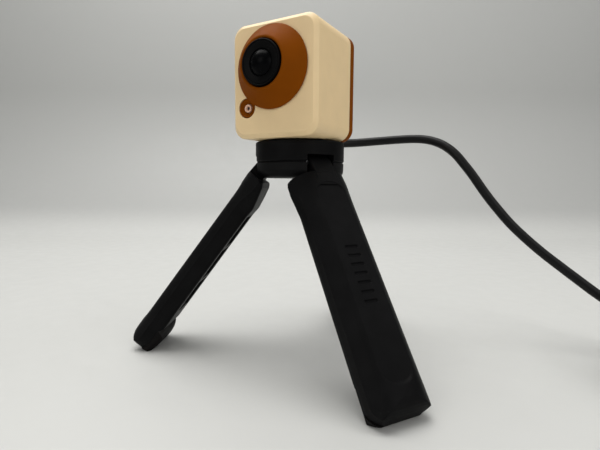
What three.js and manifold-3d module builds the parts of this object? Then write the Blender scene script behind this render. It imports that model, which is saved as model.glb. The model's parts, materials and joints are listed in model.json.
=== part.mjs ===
// A webcam on a folding table tripod, in millimetres.
// +Z is up and z = 0 is the table top. The lens looks along -Y and +X is to the right, seen from in front
// of the lens.
// The pieces are laid out round the vertical axis of the tripod head, and the whole is then shifted so
// that the origin lies under the middle of the box round the tripod and the camera.

import * as THREE from "three";
import { mergeVertices } from "three/addons/utils/BufferGeometryUtils.js";
import Module from "manifold-3d";

const wasm = await Module();
wasm.setup();

// ---------- driving dimensions ----------

const AXIS_X = 1.07; // where the head's axis stands, seen from the origin
const AXIS_Y = -13.78;

const GAP = 0.3; // between pieces that touch
const ROUND = 28; // sides of a large round piece
const SMALL_ROUND = 12; // sides of a small one

// Tripod head: two stacked discs, parted at the height of the leg hinges.
const HEAD_RADIUS = 19.7;
const HEAD_TOP = 94;
const HEAD_BOTTOM = 78.4;
const HINGE_HEIGHT = 85;
const HINGE_RADIUS = 14.5; // from the head's axis to a hinge pin
const SLOT_WIDTH = 12.4;
const SLOT_START = 10.6; // the slot's inner wall, from the head's axis
const SLOT_CEILING = 88;

// Legs: open at LEG_TILT from the vertical, and LEG_AZIMUTH is the first leg's direction from +X.
const LEG_TILT = THREE.MathUtils.degToRad(36.4);
const LEG_AZIMUTH = THREE.MathUtils.degToRad(-32.1);
const LEG_COUNT = 3;
const LEG_HALF_WIDTH = 11.7;
const WING_HALF_WIDTH = 13.9;
const LEG_START = 7.4; // along the leg from its hinge to its square top
const LEG_END = 101.2; // along the leg from its hinge to the end of the plastic
const CROWN = 4.1; // how far the outside of the leg stands out from the hinge pin
const PANEL_LEVEL = 3.1; // the flat panel on the crown
const PANEL_HALF_WIDTH = 6.8;
const PANEL_START = 13;
const PANEL_END = 92.2;
const KNUCKLE_RADIUS = 2.9;
const KNUCKLE_HALF_WIDTH = 5.2;
const PIN_RADIUS = 1.2;
const SOLE_INNER = -8.4; // the flat that stands on the table, from the hinge pin's level
const SOLE_OUTER = -4.8;
const GROOVE_COUNT = 7;

// Camera body.
const BODY_WIDTH = 40;
const BODY_BOTTOM = 94.4;
const BODY_TOP = 140;
const CAMERA_X = 1.05; // the middle of the camera, off the head's axis
const CAMERA_Y = 0.6;
const FRONT_Y = -24.25; // its front face, before that small shift
const SHELL_DEPTH = 30.2;
const PLATE_THICKNESS = 4.2;
const CORNER_RADIUS = 5.4;
const FRONT_CHAMFER = 1.6;
const WALL = 2;

// Lens, centred above the middle of the front.
const LENS_HEIGHT = 121.45;
const BEZEL_RADIUS = 16.2;
const BEZEL_RIM = 1.1;
const BEZEL_HEIGHT = 7.65;
const BEZEL_BORE = 9;
const LENS_HEAD_RADIUS = 8.6;
const LENS_FRONT = 8.4; // how far the barrel stands out of the camera's front
const THREAD_RADIUS = 5.9; // the M12 lens thread
const BOARD_FRONT = 20.2; // behind the front of the camera
const BOARD_THICKNESS = 1.6;

// Microphone port, below and to the side of the lens.
const MIC_X = -12.57;
const MIC_HEIGHT = 106.7;
const MIC_RADIUS = 3.75;

// Tripod thread, 1/4 inch.
const STUD_RADIUS = 3.1;
const STUD_TOP = 99.4;
const INSERT_RADIUS = 4.4;
const INSERT_TOP = 101.8;
const BOSS_RADIUS = 5.6;

// Cable and USB plug.
const CABLE_RADIUS = 2.25;
const CABLE_X = -9;
const CABLE_HEIGHT = 98.6;
const RELIEF_LENGTH = 18;
const COIL_X = 152; // the middle of the coil
const COIL_Y = 37.6;
const COIL_LIFT = 0.9; // the coil lies on its tie
const COIL_INNER = 22.5; // radius of the innermost turn's centreline
const COIL_TURNS = 1.7; // turns in each layer
const COIL_LAYERS = 4;
const COIL_OUTER = COIL_INNER + COIL_TURNS * 2 * CABLE_RADIUS;
const PLUG_Y = 3.5; // where the cable runs into the plug
const PLUG_WIDTH = 15.6;
const PLUG_THICKNESS = 8;
const PLUG_LENGTH = 27;

// ---------- materials ----------

function plastic(color, roughness = 0.55) {
  return new THREE.MeshStandardMaterial({ color, roughness, metalness: 0 });
}

function metal(color, roughness = 0.35) {
  return new THREE.MeshStandardMaterial({ color, roughness, metalness: 1 });
}

const CREAM = plastic(0xe3c99b, 0.6);
const BROWN = plastic(0x9a4f1f, 0.55);
const BLACK = plastic(0x17171a, 0.5);
const LENS_BLACK = plastic(0x0a0a0b, 0.35);
const RUBBER = plastic(0x1c1c1d, 0.85);
const CABLE_BLACK = plastic(0x0d0d0e, 0.45);
const BOARD_GREEN = plastic(0x14532d, 0.5);
const CONNECTOR_WHITE = plastic(0xe8e4d8, 0.5);
const PALE_PINK = plastic(0xe6b79c, 0.6);
const GLASS = new THREE.MeshStandardMaterial({ color: 0x101418, roughness: 0.05, metalness: 0 });
const STEEL = metal(0xb9bcc0);
const DARK_STEEL = metal(0x3a3b3e, 0.45);
const BRASS = metal(0xc9a24a, 0.3);

// ---------- solids ----------

// The closed body of a geometry, its shared vertices merged and its empty triangles left out.
function solid(geometry) {
  const bare = geometry.clone();
  bare.deleteAttribute("normal");
  bare.deleteAttribute("uv");
  const merged = mergeVertices(bare, 1e-4);
  const corners = merged.index.array;
  const kept = [];
  for (let i = 0; i < corners.length; i += 3) {
    const [a, b, c] = corners.slice(i, i + 3);
    if (a !== b && b !== c && c !== a) {
      kept.push(a, b, c);
    }
  }
  return new wasm.Manifold(new wasm.Mesh({
    numProp: 3,
    vertProperties: new Float32Array(merged.attributes.position.array),
    triVerts: new Uint32Array(kept),
  }));
}

function geometryOf(body) {
  const mesh = body.getMesh();
  const geometry = new THREE.BufferGeometry();
  geometry.setAttribute("position", new THREE.BufferAttribute(mesh.vertProperties, 3));
  geometry.setIndex(new THREE.BufferAttribute(mesh.triVerts, 1));
  geometry.computeVertexNormals();
  return geometry;
}

// A body with others joined to it, and one with others cut out of it.
function joined(first, ...others) {
  return others.reduce((body, other) => body.add(other), first);
}

function cut(first, ...others) {
  return others.reduce((body, other) => body.subtract(other), first);
}

// An outline pushed along an axis. Its two numbers are (y, z) for axis x, (x, z) for y and (x, y) for z.
function prism(outline, axis, from, to, curveSegments = 6) {
  const shape = outline instanceof THREE.Shape
    ? outline
    : new THREE.Shape(outline.map(([u, v]) => new THREE.Vector2(u, v)));
  const options = { depth: to - from, bevelEnabled: false, curveSegments };
  const geometry = new THREE.ExtrudeGeometry(shape, options);
  const x = new THREE.Vector3(1, 0, 0);
  const y = new THREE.Vector3(0, 1, 0);
  const z = new THREE.Vector3(0, 0, 1);
  if (axis === "x") {
    geometry.translate(0, 0, from);
    geometry.applyMatrix4(new THREE.Matrix4().makeBasis(y, z, x));
  } else if (axis === "y") {
    geometry.translate(0, 0, -to);
    geometry.applyMatrix4(new THREE.Matrix4().makeBasis(x, z, y.negate()));
  } else {
    geometry.translate(0, 0, from);
  }
  return solid(geometry);
}

// A box from its lowest to its highest corner.
function block(low, high) {
  const size = high.map((value, i) => value - low[i]);
  const geometry = new THREE.BoxGeometry(...size);
  geometry.translate(...low.map((value, i) => value + size[i] / 2));
  return solid(geometry);
}

// A round bar along an axis through (u, v), the other two coordinates in order.
function bar(axis, radius, from, to, [u, v] = [0, 0], sides = SMALL_ROUND) {
  const geometry = new THREE.CylinderGeometry(radius, radius, to - from, sides);
  const middle = (from + to) / 2;
  if (axis === "x") {
    geometry.rotateZ(-Math.PI / 2);
    geometry.translate(middle, u, v);
  } else if (axis === "y") {
    geometry.translate(u, middle, v);
  } else {
    geometry.rotateX(Math.PI / 2);
    geometry.translate(u, v, middle);
  }
  return solid(geometry);
}

// A body turned round the Z axis. The section is a loop of [radius, height] pairs, and one that starts
// and ends on the axis is left open there.
function turned(section, sides = ROUND) {
  const points = section.map(([radius, height]) => new THREE.Vector2(radius, height));
  if (THREE.ShapeUtils.isClockWise(points)) {
    points.reverse();
  }
  const onAxis = section[0][0] === 0 && section.at(-1)[0] === 0;
  const loop = onAxis ? points : [...points, points[0].clone()];
  const geometry = new THREE.LatheGeometry(loop, sides);
  geometry.rotateX(Math.PI / 2);
  return solid(geometry);
}

// A round tube or wire along a curve.
function wire(curve, radius, steps, sides) {
  const section = new THREE.Shape();
  section.absarc(0, 0, radius, 0, 2 * Math.PI);
  const options = { steps, extrudePath: curve, curveSegments: sides / 2, bevelEnabled: false };
  return solid(new THREE.ExtrudeGeometry(section, options));
}

function moved(body, x, y, z) {
  return body.translate([x, y, z]);
}

// A rectangle with round corners, centred on (0, middle).
function roundedRectangle(width, height, radius, middle = 0) {
  const w = width / 2;
  const h = height / 2;
  const shape = new THREE.Shape();
  shape.moveTo(w, middle - h + radius);
  shape.lineTo(w, middle + h - radius);
  shape.absarc(w - radius, middle + h - radius, radius, 0, Math.PI / 2);
  shape.absarc(-w + radius, middle + h - radius, radius, Math.PI / 2, Math.PI);
  shape.absarc(-w + radius, middle - h + radius, radius, Math.PI, 1.5 * Math.PI);
  shape.absarc(w - radius, middle - h + radius, radius, 1.5 * Math.PI, 2 * Math.PI);
  return shape;
}

// Points on an arc from one angle to another, in degrees, as outline pairs.
function arc(radius, fromDegrees, toDegrees, steps, [u, v] = [0, 0]) {
  return Array.from({ length: steps + 1 }, (_, i) => {
    const angle = THREE.MathUtils.degToRad(fromDegrees + ((toDegrees - fromDegrees) * i) / steps);
    return [u + radius * Math.cos(angle), v + radius * Math.sin(angle)];
  });
}

function piece(name, body, material) {
  const mesh = new THREE.Mesh(geometryOf(body), material);
  mesh.name = name;
  return mesh;
}

function atAngle(body, angle) {
  return body.rotate([0, 0, THREE.MathUtils.radToDeg(angle)]);
}

function legAngle(index) {
  return LEG_AZIMUTH - (index * 2 * Math.PI) / LEG_COUNT;
}

const legIndexes = Array.from({ length: LEG_COUNT }, (_, i) => i);

// ---------- tripod head ----------

const HEAD_SIDES = 36;
const PARTING_TOP = HINGE_HEIGHT + GAP / 2;
const PARTING_BOTTOM = HINGE_HEIGHT - GAP / 2;
const HEX_POCKET_TOP = 90;
const HEX_RADIUS = 6.4; // across the corners
const PAD_RADIUS = 16;
const PAD_BOTTOM = 93.4;
const PAD_TOP = 94.1;
const PIN_HALF_LENGTH = 9.2;
const HEAD_SCREW_RING = 13.4;

function legSlots(from, to) {
  const halfWidth = SLOT_WIDTH / 2;
  return legIndexes.map((i) => atAngle(
    block([SLOT_START, -halfWidth, from], [HEAD_RADIUS + 2, halfWidth, to]),
    legAngle(i),
  ));
}

// A round hole for each hinge pin, across its slot and shared by the two discs.
function pinSeats() {
  return legIndexes.map((i) => atAngle(
    bar("y", PIN_RADIUS + GAP, -PIN_HALF_LENGTH - GAP, PIN_HALF_LENGTH + GAP, [HINGE_RADIUS, HINGE_HEIGHT], 8),
    legAngle(i),
  ));
}

function screwPlaces() {
  return legIndexes.map((i) => {
    const angle = legAngle(i) + Math.PI / LEG_COUNT;
    return [HEAD_SCREW_RING * Math.cos(angle), HEAD_SCREW_RING * Math.sin(angle)];
  });
}

function headTop() {
  const disc = turned([
    [0, PARTING_TOP],
    [HEAD_RADIUS, PARTING_TOP],
    [HEAD_RADIUS, HEAD_TOP - 0.9],
    [HEAD_RADIUS - 0.8, HEAD_TOP],
    [PAD_RADIUS + GAP, HEAD_TOP],
    [PAD_RADIUS + GAP, PAD_BOTTOM - GAP],
    [0, PAD_BOTTOM - GAP],
  ], HEAD_SIDES);
  const hexPocket = bar("z", HEX_RADIUS + GAP, PARTING_TOP - 1, HEX_POCKET_TOP, [0, 0], 6);
  const studHole = bar("z", STUD_RADIUS + GAP, HEX_POCKET_TOP - 1, HEAD_TOP + 1);
  const screwHoles = screwPlaces().map((place) => bar("z", 1.6, PARTING_TOP - 1, 91.5, place, 8));
  const slots = legSlots(PARTING_TOP - 1, SLOT_CEILING);
  return piece("head_top", cut(disc, hexPocket, studHole, ...screwHoles, ...slots, ...pinSeats()), BLACK);
}

function headBase() {
  const edge = 3.2;
  const disc = turned([
    [0, HEAD_BOTTOM],
    ...arc(edge, -90, 0, 3, [HEAD_RADIUS - edge - 0.2, HEAD_BOTTOM + edge]),
    [HEAD_RADIUS - 0.1, PARTING_BOTTOM],
    [0, PARTING_BOTTOM],
  ], HEAD_SIDES);
  const screwHoles = screwPlaces().flatMap((place) => [
    bar("z", 1.8, HEAD_BOTTOM - 1, PARTING_BOTTOM + 1, place, 8),
    bar("z", 3, HEAD_BOTTOM - 1, HEAD_BOTTOM + 2.2, place),
  ]);
  const slots = legSlots(HEAD_BOTTOM - 1, PARTING_BOTTOM + 1);
  return piece("head_base", cut(disc, ...screwHoles, ...slots, ...pinSeats()), BLACK);
}

function headScrew(index) {
  const [x, y] = screwPlaces()[index];
  const headBottom = HEAD_BOTTOM + 0.2;
  const head = bar("z", 2.6, headBottom, headBottom + 1.7, [x, y]);
  const shank = bar("z", 1.2, headBottom + 1.3, 91, [x, y], 8);
  const drive = bar("z", 1, headBottom - 1, headBottom + 0.9, [x, y], 6);
  return piece(`head_screw_${index + 1}`, cut(joined(head, shank), drive), DARK_STEEL);
}

function hingePin(index) {
  const pin = bar("y", PIN_RADIUS, -PIN_HALF_LENGTH, PIN_HALF_LENGTH, [HINGE_RADIUS, HINGE_HEIGHT], 8);
  return piece(`hinge_pin_${index + 1}`, atAngle(pin, legAngle(index)), STEEL);
}

function stud() {
  const hexHead = bar("z", HEX_RADIUS, PARTING_TOP + 0.2, HEX_POCKET_TOP - GAP, [0, 0], 6);
  const shank = turned([
    [0, HEX_POCKET_TOP - 2],
    [STUD_RADIUS, HEX_POCKET_TOP - 2],
    [STUD_RADIUS, STUD_TOP - 0.8],
    [STUD_RADIUS - 0.8, STUD_TOP],
    [0, STUD_TOP],
  ], SMALL_ROUND);
  return piece("stud", joined(hexHead, shank), STEEL);
}

function topPad() {
  const ring = turned([
    [STUD_RADIUS + 1, PAD_BOTTOM],
    [PAD_RADIUS, PAD_BOTTOM],
    [PAD_RADIUS, PAD_TOP],
    [STUD_RADIUS + 1, PAD_TOP],
  ]);
  return piece("top_pad", ring, RUBBER);
}

// ---------- legs ----------
// A leg is laid out from its hinge pin: x out from its inner side to its crown, y across, and z up the leg,
// so that depth along the leg is -z.

// Where the leg's depth meets the table, for a level out from the hinge pin.
function tableDepth(level) {
  return (HINGE_HEIGHT + level * Math.sin(LEG_TILT)) / Math.cos(LEG_TILT);
}

// The crown's section: flat on top, falling away over soft shoulders to the side walls and on to the wings.
function crownSection() {
  const inner = -14;
  const upper = [[CROWN - 0.2, 3.5], [CROWN - 1, 7], [1.2, 9.6], [-1.3, LEG_HALF_WIDTH], [-4.6, 14.8]];
  const half = [...upper, [inner, 14.8]];
  const mirrored = half.map(([level, across]) => [level, -across]).reverse();
  return [[CROWN, 0], ...half, ...mirrored];
}

function legSideProfile() {
  return [
    [CROWN, -LEG_START],
    [CROWN, -94.4],
    [CROWN - 0.3, -96.8],
    [CROWN - 1.2, -98.8],
    [CROWN - 2.6, -100],
    [-0.6, -101],
    [-2.7, -LEG_END],
    [-4.6, -100],
    [-6.1, -96.6],
    [-6.1, -89],
    [-7.5, -87],
    [-7.5, -24],
    [-7.9, -20],
    [-6.9, -14],
    [-5.9, -9.5],
    [-4.8, -LEG_START],
  ];
}

// The outline across the leg and down it, with a round end that stops at a given depth.
function legPlan(end) {
  const half = [
    [WING_HALF_WIDTH - 1.4, -LEG_START],
    [WING_HALF_WIDTH - 0.2, -8.2],
    [WING_HALF_WIDTH, -9.6],
    [WING_HALF_WIDTH - 0.3, -13],
    [12.3, -18],
    [LEG_HALF_WIDTH, -22],
    [LEG_HALF_WIDTH, -end + 5.2],
    [LEG_HALF_WIDTH - 0.3, -end + 3],
    [LEG_HALF_WIDTH - 1.4, -end + 1.2],
    [LEG_HALF_WIDTH - 3.1, -end],
  ];
  const mirrored = half.map(([across, height]) => [-across, height]).reverse();
  return [...half, ...mirrored];
}

function panelPocket() {
  const length = PANEL_END - PANEL_START;
  const middle = -(PANEL_START + PANEL_END) / 2;
  const outline = roundedRectangle(2 * PANEL_HALF_WIDTH, length, 6, middle);
  return prism(outline, "x", PANEL_LEVEL, CROWN + 2);
}

// A row of short grip grooves along the middle of the panel.
function gripGrooves() {
  const first = 41.5;
  const pitch = 3.6;
  return Array.from({ length: GROOVE_COUNT }, (_, i) => {
    const depth = first + i * pitch;
    return block([PANEL_LEVEL - 0.5, -2.8, -depth - 1.2], [PANEL_LEVEL + 1, 2.8, -depth]);
  });
}

// Three shallow pockets in the leg's inner side, with ribs left between them.
function innerPockets() {
  const length = 16.5;
  return [25, 43.3, 61.6].map((start) => block([-9, -9, -start - length], [-4.2, 9, -start]));
}

function leg(index) {
  const plan = prism(legPlan(LEG_END), "x", -12, CROWN + 4);
  const side = prism(legSideProfile(), "y", -16, 16);
  const crown = prism(crownSection(), "z", -LEG_END - 1, -LEG_START + 1);
  const shape = plan.intersect(side).intersect(crown);
  const tabSection = [
    ...arc(KNUCKLE_RADIUS, 180, 60, 6),
    [3.3, -1.7],
    [3.7, -9],
    [3.7, -14],
    [-3.6, -14],
    [-3.2, -6],
  ];
  const tab = prism(tabSection, "y", -KNUCKLE_HALF_WIDTH, KNUCKLE_HALF_WIDTH);
  const pinHole = bar("y", PIN_RADIUS + GAP, -6, 6, [0, 0], 8);
  const body = cut(joined(shape, tab), pinHole, panelPocket(), ...gripGrooves(), ...innerPockets());
  return piece(`leg_${index + 1}`, body, BLACK);
}

// The rubber foot lies against the inner side and under the end of the leg, narrowing towards its inner
// side, with a flat that stands on the table.
function foot(index) {
  const profile = [
    [-6.4, -89.2],
    [-7.4, -90],
    [-8.8, -91.6],
    [-9.5, -94],
    [-9.4, -97],
    [SOLE_INNER, -tableDepth(SOLE_INNER)],
    [SOLE_OUTER, -tableDepth(SOLE_OUTER)],
    [-3.3, -102],
    [-2.9, -101.55],
    [-4.9, -100.35],
    [-6.4, -96.75],
  ];
  const half = [[-2, 11.6], [-6.4, 11.5], [-7.6, 10.9], [-8.8, 9.5], [-9.6, 7.5]];
  const mirrored = half.map(([level, across]) => [level, -across]).reverse();
  const plan = prism(legPlan(tableDepth(SOLE_OUTER) + 0.6), "x", -12, 6);
  const section = prism([...half, ...mirrored], "z", -104, -88);
  const body = prism(profile, "y", -14, 14).intersect(plan).intersect(section);
  return piece(`foot_${index + 1}`, body, RUBBER);
}

// The group that carries a leg at its hinge, open.
function openLeg(index) {
  const bearing = new THREE.Group();
  bearing.rotation.z = legAngle(index);
  const tilted = new THREE.Group();
  tilted.position.set(HINGE_RADIUS, 0, HINGE_HEIGHT);
  tilted.rotation.y = -LEG_TILT;
  tilted.add(leg(index), foot(index));
  bearing.add(tilted);
  return bearing;
}

// ---------- camera body ----------
// The camera's pieces are laid out from the lens axis at its front face: x along +X, y up and z forward.

const BODY_HEIGHT = BODY_TOP - BODY_BOTTOM;
const BODY_MIDDLE = (BODY_TOP + BODY_BOTTOM) / 2 - LENS_HEIGHT; // the box's middle, from the lens axis
const BODY_FLOOR = BODY_BOTTOM - LENS_HEIGHT;
const SHELL_BACK = -SHELL_DEPTH;
const THREAD_PLACE = [-CAMERA_X, CAMERA_Y + FRONT_Y]; // the head's axis, as x and z
const SCREW_X = 15.4;
const SCREW_Y = 18.1;
const SCREW_CORNERS = [[1, 1], [-1, 1], [-1, -1], [1, -1]];
const BOARD_POSTS = [[14.4, 12], [-14.4, 12], [-14.4, -8.5], [14.4, -8.5]];
const MIC_Y = MIC_HEIGHT - LENS_HEIGHT;
const CABLE_Y = CABLE_HEIGHT - LENS_HEIGHT;

function shellOutline(inset, radius) {
  return roundedRectangle(BODY_WIDTH - 2 * inset, BODY_HEIGHT - 2 * inset, radius, BODY_MIDDLE);
}

// The outside of the front shell, its front edge chamfered in two soft steps.
function shellBlank() {
  const steps = [[0, FRONT_CHAMFER], [0.5, 0.5], [FRONT_CHAMFER, 0]];
  return steps
    .map(([inset, back]) => prism(shellOutline(inset, CORNER_RADIUS - inset / 2), "z", SHELL_BACK, -back, 4))
    .reduce((body, slab) => body.add(slab));
}

function plateScrewPlace([right, up]) {
  return [right * SCREW_X, BODY_MIDDLE + up * SCREW_Y];
}

function frontShell() {
  const cavity = prism(shellOutline(WALL, CORNER_RADIUS - WALL), "z", SHELL_BACK - 1, -WALL, 3);
  const bosses = SCREW_CORNERS.map((corner) => (
    bar("z", 3, SHELL_BACK, SHELL_BACK + 6.3, plateScrewPlace(corner), 10)
  ));
  const posts = BOARD_POSTS.map((place) => bar("z", 2.4, -BOARD_FRONT + GAP, -WALL + 0.5, place, 8));
  const threadBoss = bar("y", BOSS_RADIUS, BODY_FLOOR + 0.5, INSERT_TOP + 1.6 - LENS_HEIGHT, THREAD_PLACE);
  const walls = joined(cut(shellBlank(), cavity), ...bosses, ...posts, threadBoss);
  const holes = [
    bar("z", 10, -WALL - 1, 1, [0, 0], ROUND),
    bar("z", MIC_RADIUS + GAP, -WALL - 1, 1, [MIC_X, MIC_Y]),
    bar("y", INSERT_RADIUS + GAP, BODY_FLOOR - 1, INSERT_TOP + GAP - LENS_HEIGHT, THREAD_PLACE),
    ...SCREW_CORNERS.map((corner) => (
      bar("z", 1.2, SHELL_BACK - 1, SHELL_BACK + 5.5, plateScrewPlace(corner), 6)
    )),
    ...BOARD_POSTS.map((place) => bar("z", 1.2, -BOARD_FRONT - 1, -BOARD_FRONT + 7, place, 6)),
  ];
  return piece("front_shell", cut(walls, ...holes), CREAM);
}

const PLATE_FRONT = SHELL_BACK - GAP;
const PLATE_BACK = PLATE_FRONT - PLATE_THICKNESS;
const NECK_RADIUS = 2.5; // the strain relief in the back plate
const FLANGE_RADIUS = 3.1;
const FLANGE_FRONT = SHELL_BACK + 2.3;

function backPlate() {
  const steps = [[0, 1.2], [0.4, 0.4], [1.2, 0]];
  const slab = steps
    .map(([inset, front]) => (
      prism(shellOutline(inset, CORNER_RADIUS - inset / 2), "z", PLATE_BACK + front, PLATE_FRONT, 4)
    ))
    .reduce((body, layer) => body.add(layer));
  const lipOutside = prism(shellOutline(WALL + 0.35, CORNER_RADIUS - WALL), "z", PLATE_FRONT - 1, PLATE_FRONT + 2, 3);
  const lipInside = prism(shellOutline(WALL + 1.6, CORNER_RADIUS - WALL), "z", PLATE_FRONT, PLATE_FRONT + 3, 3);
  const roomForBosses = SCREW_CORNERS.map((corner) => (
    bar("z", 3.4, PLATE_FRONT, PLATE_FRONT + 4, plateScrewPlace(corner), 10)
  ));
  const roomForFlange = bar("z", FLANGE_RADIUS + GAP, PLATE_FRONT, PLATE_FRONT + 4, [CABLE_X, CABLE_Y], 16);
  const boss = BOSS_RADIUS + 1 + CAMERA_X;
  const roomForThreadBoss = block([-boss, BODY_FLOOR, PLATE_FRONT], [boss, BODY_FLOOR + 6, 0]);
  const lip = cut(lipOutside, lipInside, ...roomForBosses, roomForFlange, roomForThreadBoss);
  const screwHoles = SCREW_CORNERS.flatMap((corner) => [
    bar("z", 1.5, PLATE_BACK - 1, PLATE_FRONT + 1, plateScrewPlace(corner), 8),
    bar("z", 2.5, PLATE_BACK - 1, PLATE_BACK + 1.8, plateScrewPlace(corner)),
  ]);
  const cableHole = bar("z", NECK_RADIUS + GAP, PLATE_BACK - 1, PLATE_FRONT + 1, [CABLE_X, CABLE_Y], 16);
  return piece("back_plate", cut(joined(slab, lip), ...screwHoles, cableHole), BROWN);
}

// A small screw along z with a hex socket in its head, pointing forward from its head's back face.
function smallScrew(place, headBack, length) {
  const head = bar("z", 2.1, headBack, headBack + 1.2, place);
  const shank = bar("z", 0.85, headBack + 1, headBack + length, place, 6);
  const drive = bar("z", 0.9, headBack - 1, headBack + 0.7, place, 6);
  return cut(joined(head, shank), drive);
}

function plateScrews() {
  return SCREW_CORNERS.map((corner, i) => (
    piece(`plate_screw_${i + 1}`, smallScrew(plateScrewPlace(corner), PLATE_BACK + 0.25, 9.3), DARK_STEEL)
  ));
}

function threadedInsert() {
  const body = turned([
    [STUD_RADIUS + GAP, 0],
    [INSERT_RADIUS, 0],
    [INSERT_RADIUS, 3],
    [INSERT_RADIUS - 0.4, 3.2],
    [INSERT_RADIUS - 0.4, 3.8],
    [INSERT_RADIUS, 4],
    [INSERT_RADIUS, INSERT_TOP - BODY_BOTTOM - GAP],
    [STUD_RADIUS + GAP, INSERT_TOP - BODY_BOTTOM - GAP],
  ], SMALL_ROUND);
  const [x, z] = THREAD_PLACE;
  const upright = moved(body.rotate([-90, 0, 0]), x, BODY_FLOOR + GAP, z);
  return piece("threaded_insert", upright, BRASS);
}

// ---------- lens ----------

function lensBezel() {
  const section = [
    [BEZEL_BORE, -2.6],
    [9.7, -2.6],
    [9.7, GAP],
    [BEZEL_RADIUS, GAP],
    [BEZEL_RADIUS, BEZEL_RIM],
    [BEZEL_RADIUS - 0.4, BEZEL_RIM + 0.4],
    [10.3, BEZEL_HEIGHT - 0.4],
    [9.8, BEZEL_HEIGHT],
    [9.3, BEZEL_HEIGHT],
    [BEZEL_BORE, BEZEL_HEIGHT - 0.5],
  ];
  return piece("lens_bezel", turned(section, 40), BROWN);
}

function lensBarrel() {
  const section = [
    [4.6, -14],
    [THREAD_RADIUS, -14],
    [THREAD_RADIUS, -3],
    [LENS_HEAD_RADIUS, -3],
    [LENS_HEAD_RADIUS, LENS_FRONT - 0.4],
    [LENS_HEAD_RADIUS - 0.4, LENS_FRONT],
    [8, LENS_FRONT],
    [8, LENS_FRONT - 1.6],
    [6.1, LENS_FRONT - 1.6],
    [6.1, LENS_FRONT - 4.2],
    [4.6, LENS_FRONT - 4.2],
  ];
  return piece("lens_barrel", turned(section), LENS_BLACK);
}

function lensRetainer() {
  const section = [[5.1, -1.3], [7.7, -1.3], [7.7, -0.15], [5.1, -0.5]];
  return piece("lens_retainer", moved(turned(section), 0, 0, LENS_FRONT), LENS_BLACK);
}

function frontElement() {
  const dome = 9.5; // radius of the front surface
  const rim = 5.8;
  const domeRadius = 4.8;
  const angle = THREE.MathUtils.radToDeg(Math.asin(domeRadius / dome));
  const level = -1.9 - Math.sqrt(dome ** 2 - domeRadius ** 2);
  const section = [
    [0, -3.9],
    [rim, -3.9],
    [rim, -1.9],
    ...arc(dome, 90 - angle, 90, 5, [0, level]).slice(0, -1),
    [0, level + dome],
  ];
  return piece("lens_front_element", moved(turned(section), 0, 0, LENS_FRONT), GLASS);
}

function rearElement() {
  const section = [[0, -12], [4.3, -12], [4.3, -9.6], [3.2, -9.1], [1.6, -8.8], [0, -8.7]];
  return piece("lens_rear_element", turned(section, 24), GLASS);
}

// Screwed to the circuit board, it carries the lens in its thread.
function lensHolder() {
  const back = -BOARD_FRONT + GAP;
  const tower = turned([
    [4.9, back],
    [7.6, back],
    [7.6, -7.2],
    [THREAD_RADIUS + GAP, -7.2],
    [THREAD_RADIUS + GAP, -16.2],
    [3.2, -16.2],
    [3.2, -17.2],
    [4.9, -17.2],
  ], 24);
  const base = cut(block([-8.5, -8.5, back], [8.5, 8.5, back + 2.6]), bar("z", 6, back - 1, back + 4));
  return piece("lens_holder", joined(base, tower), LENS_BLACK);
}

function infraredFilter() {
  const disc = turned([[0, -15.9], [4.5, -15.9], [4.5, -15.3], [0, -15.3]], 24);
  return piece("infrared_filter", disc, GLASS);
}

function imageSensor() {
  const front = -BOARD_FRONT + GAP;
  return piece("image_sensor", block([-3.2, -3.2, front], [3.2, 3.2, front + 1]), GLASS);
}

function circuitBoard() {
  const outline = roundedRectangle(34, 29.6, 1.2);
  const slab = prism(outline, "z", -BOARD_FRONT - BOARD_THICKNESS, -BOARD_FRONT, 2);
  const holes = BOARD_POSTS.map((place) => bar("z", 1.3, -BOARD_FRONT - 3, -BOARD_FRONT + 1, place, 10));
  return piece("circuit_board", cut(slab, ...holes), BOARD_GREEN);
}

function boardScrews() {
  const headBack = -BOARD_FRONT - BOARD_THICKNESS - GAP - 1.2;
  return BOARD_POSTS.map((place, i) => (
    piece(`board_screw_${i + 1}`, smallScrew(place, headBack, 7.6), STEEL)
  ));
}

const CONNECTOR_X = -8.2;
const CONNECTOR_Y = -6;

function boardConnector() {
  const front = -BOARD_FRONT - BOARD_THICKNESS - GAP;
  const body = block([CONNECTOR_X - 3.7, CONNECTOR_Y - 2, front - 5], [CONNECTOR_X + 3.7, CONNECTOR_Y + 2.2, front]);
  return piece("board_connector", body, CONNECTOR_WHITE);
}

// ---------- microphone ----------

function micCup() {
  const section = [[2, -2], [MIC_RADIUS, -2], [MIC_RADIUS, -0.05], [3.5, -0.05], [2.7, -1.1], [2, -1.1]];
  return piece("mic_cup", moved(turned(section, 24), MIC_X, MIC_Y, 0), BROWN);
}

function micRing() {
  const section = [[0.8, -1.7], [1.7, -1.7], [1.7, -0.8], [1.4, -0.55], [1, -0.6], [0.8, -0.9]];
  return piece("mic_ring", moved(turned(section, 20), MIC_X, MIC_Y, 0), PALE_PINK);
}

function microphone() {
  const section = [[0, -4.9], [3, -4.9], [3, -2.3], [0.6, -2.3], [0.6, -2.7], [0, -2.7]];
  return piece("microphone", moved(turned(section, 20), MIC_X, MIC_Y, 0), STEEL);
}

// ---------- cable ----------

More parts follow.
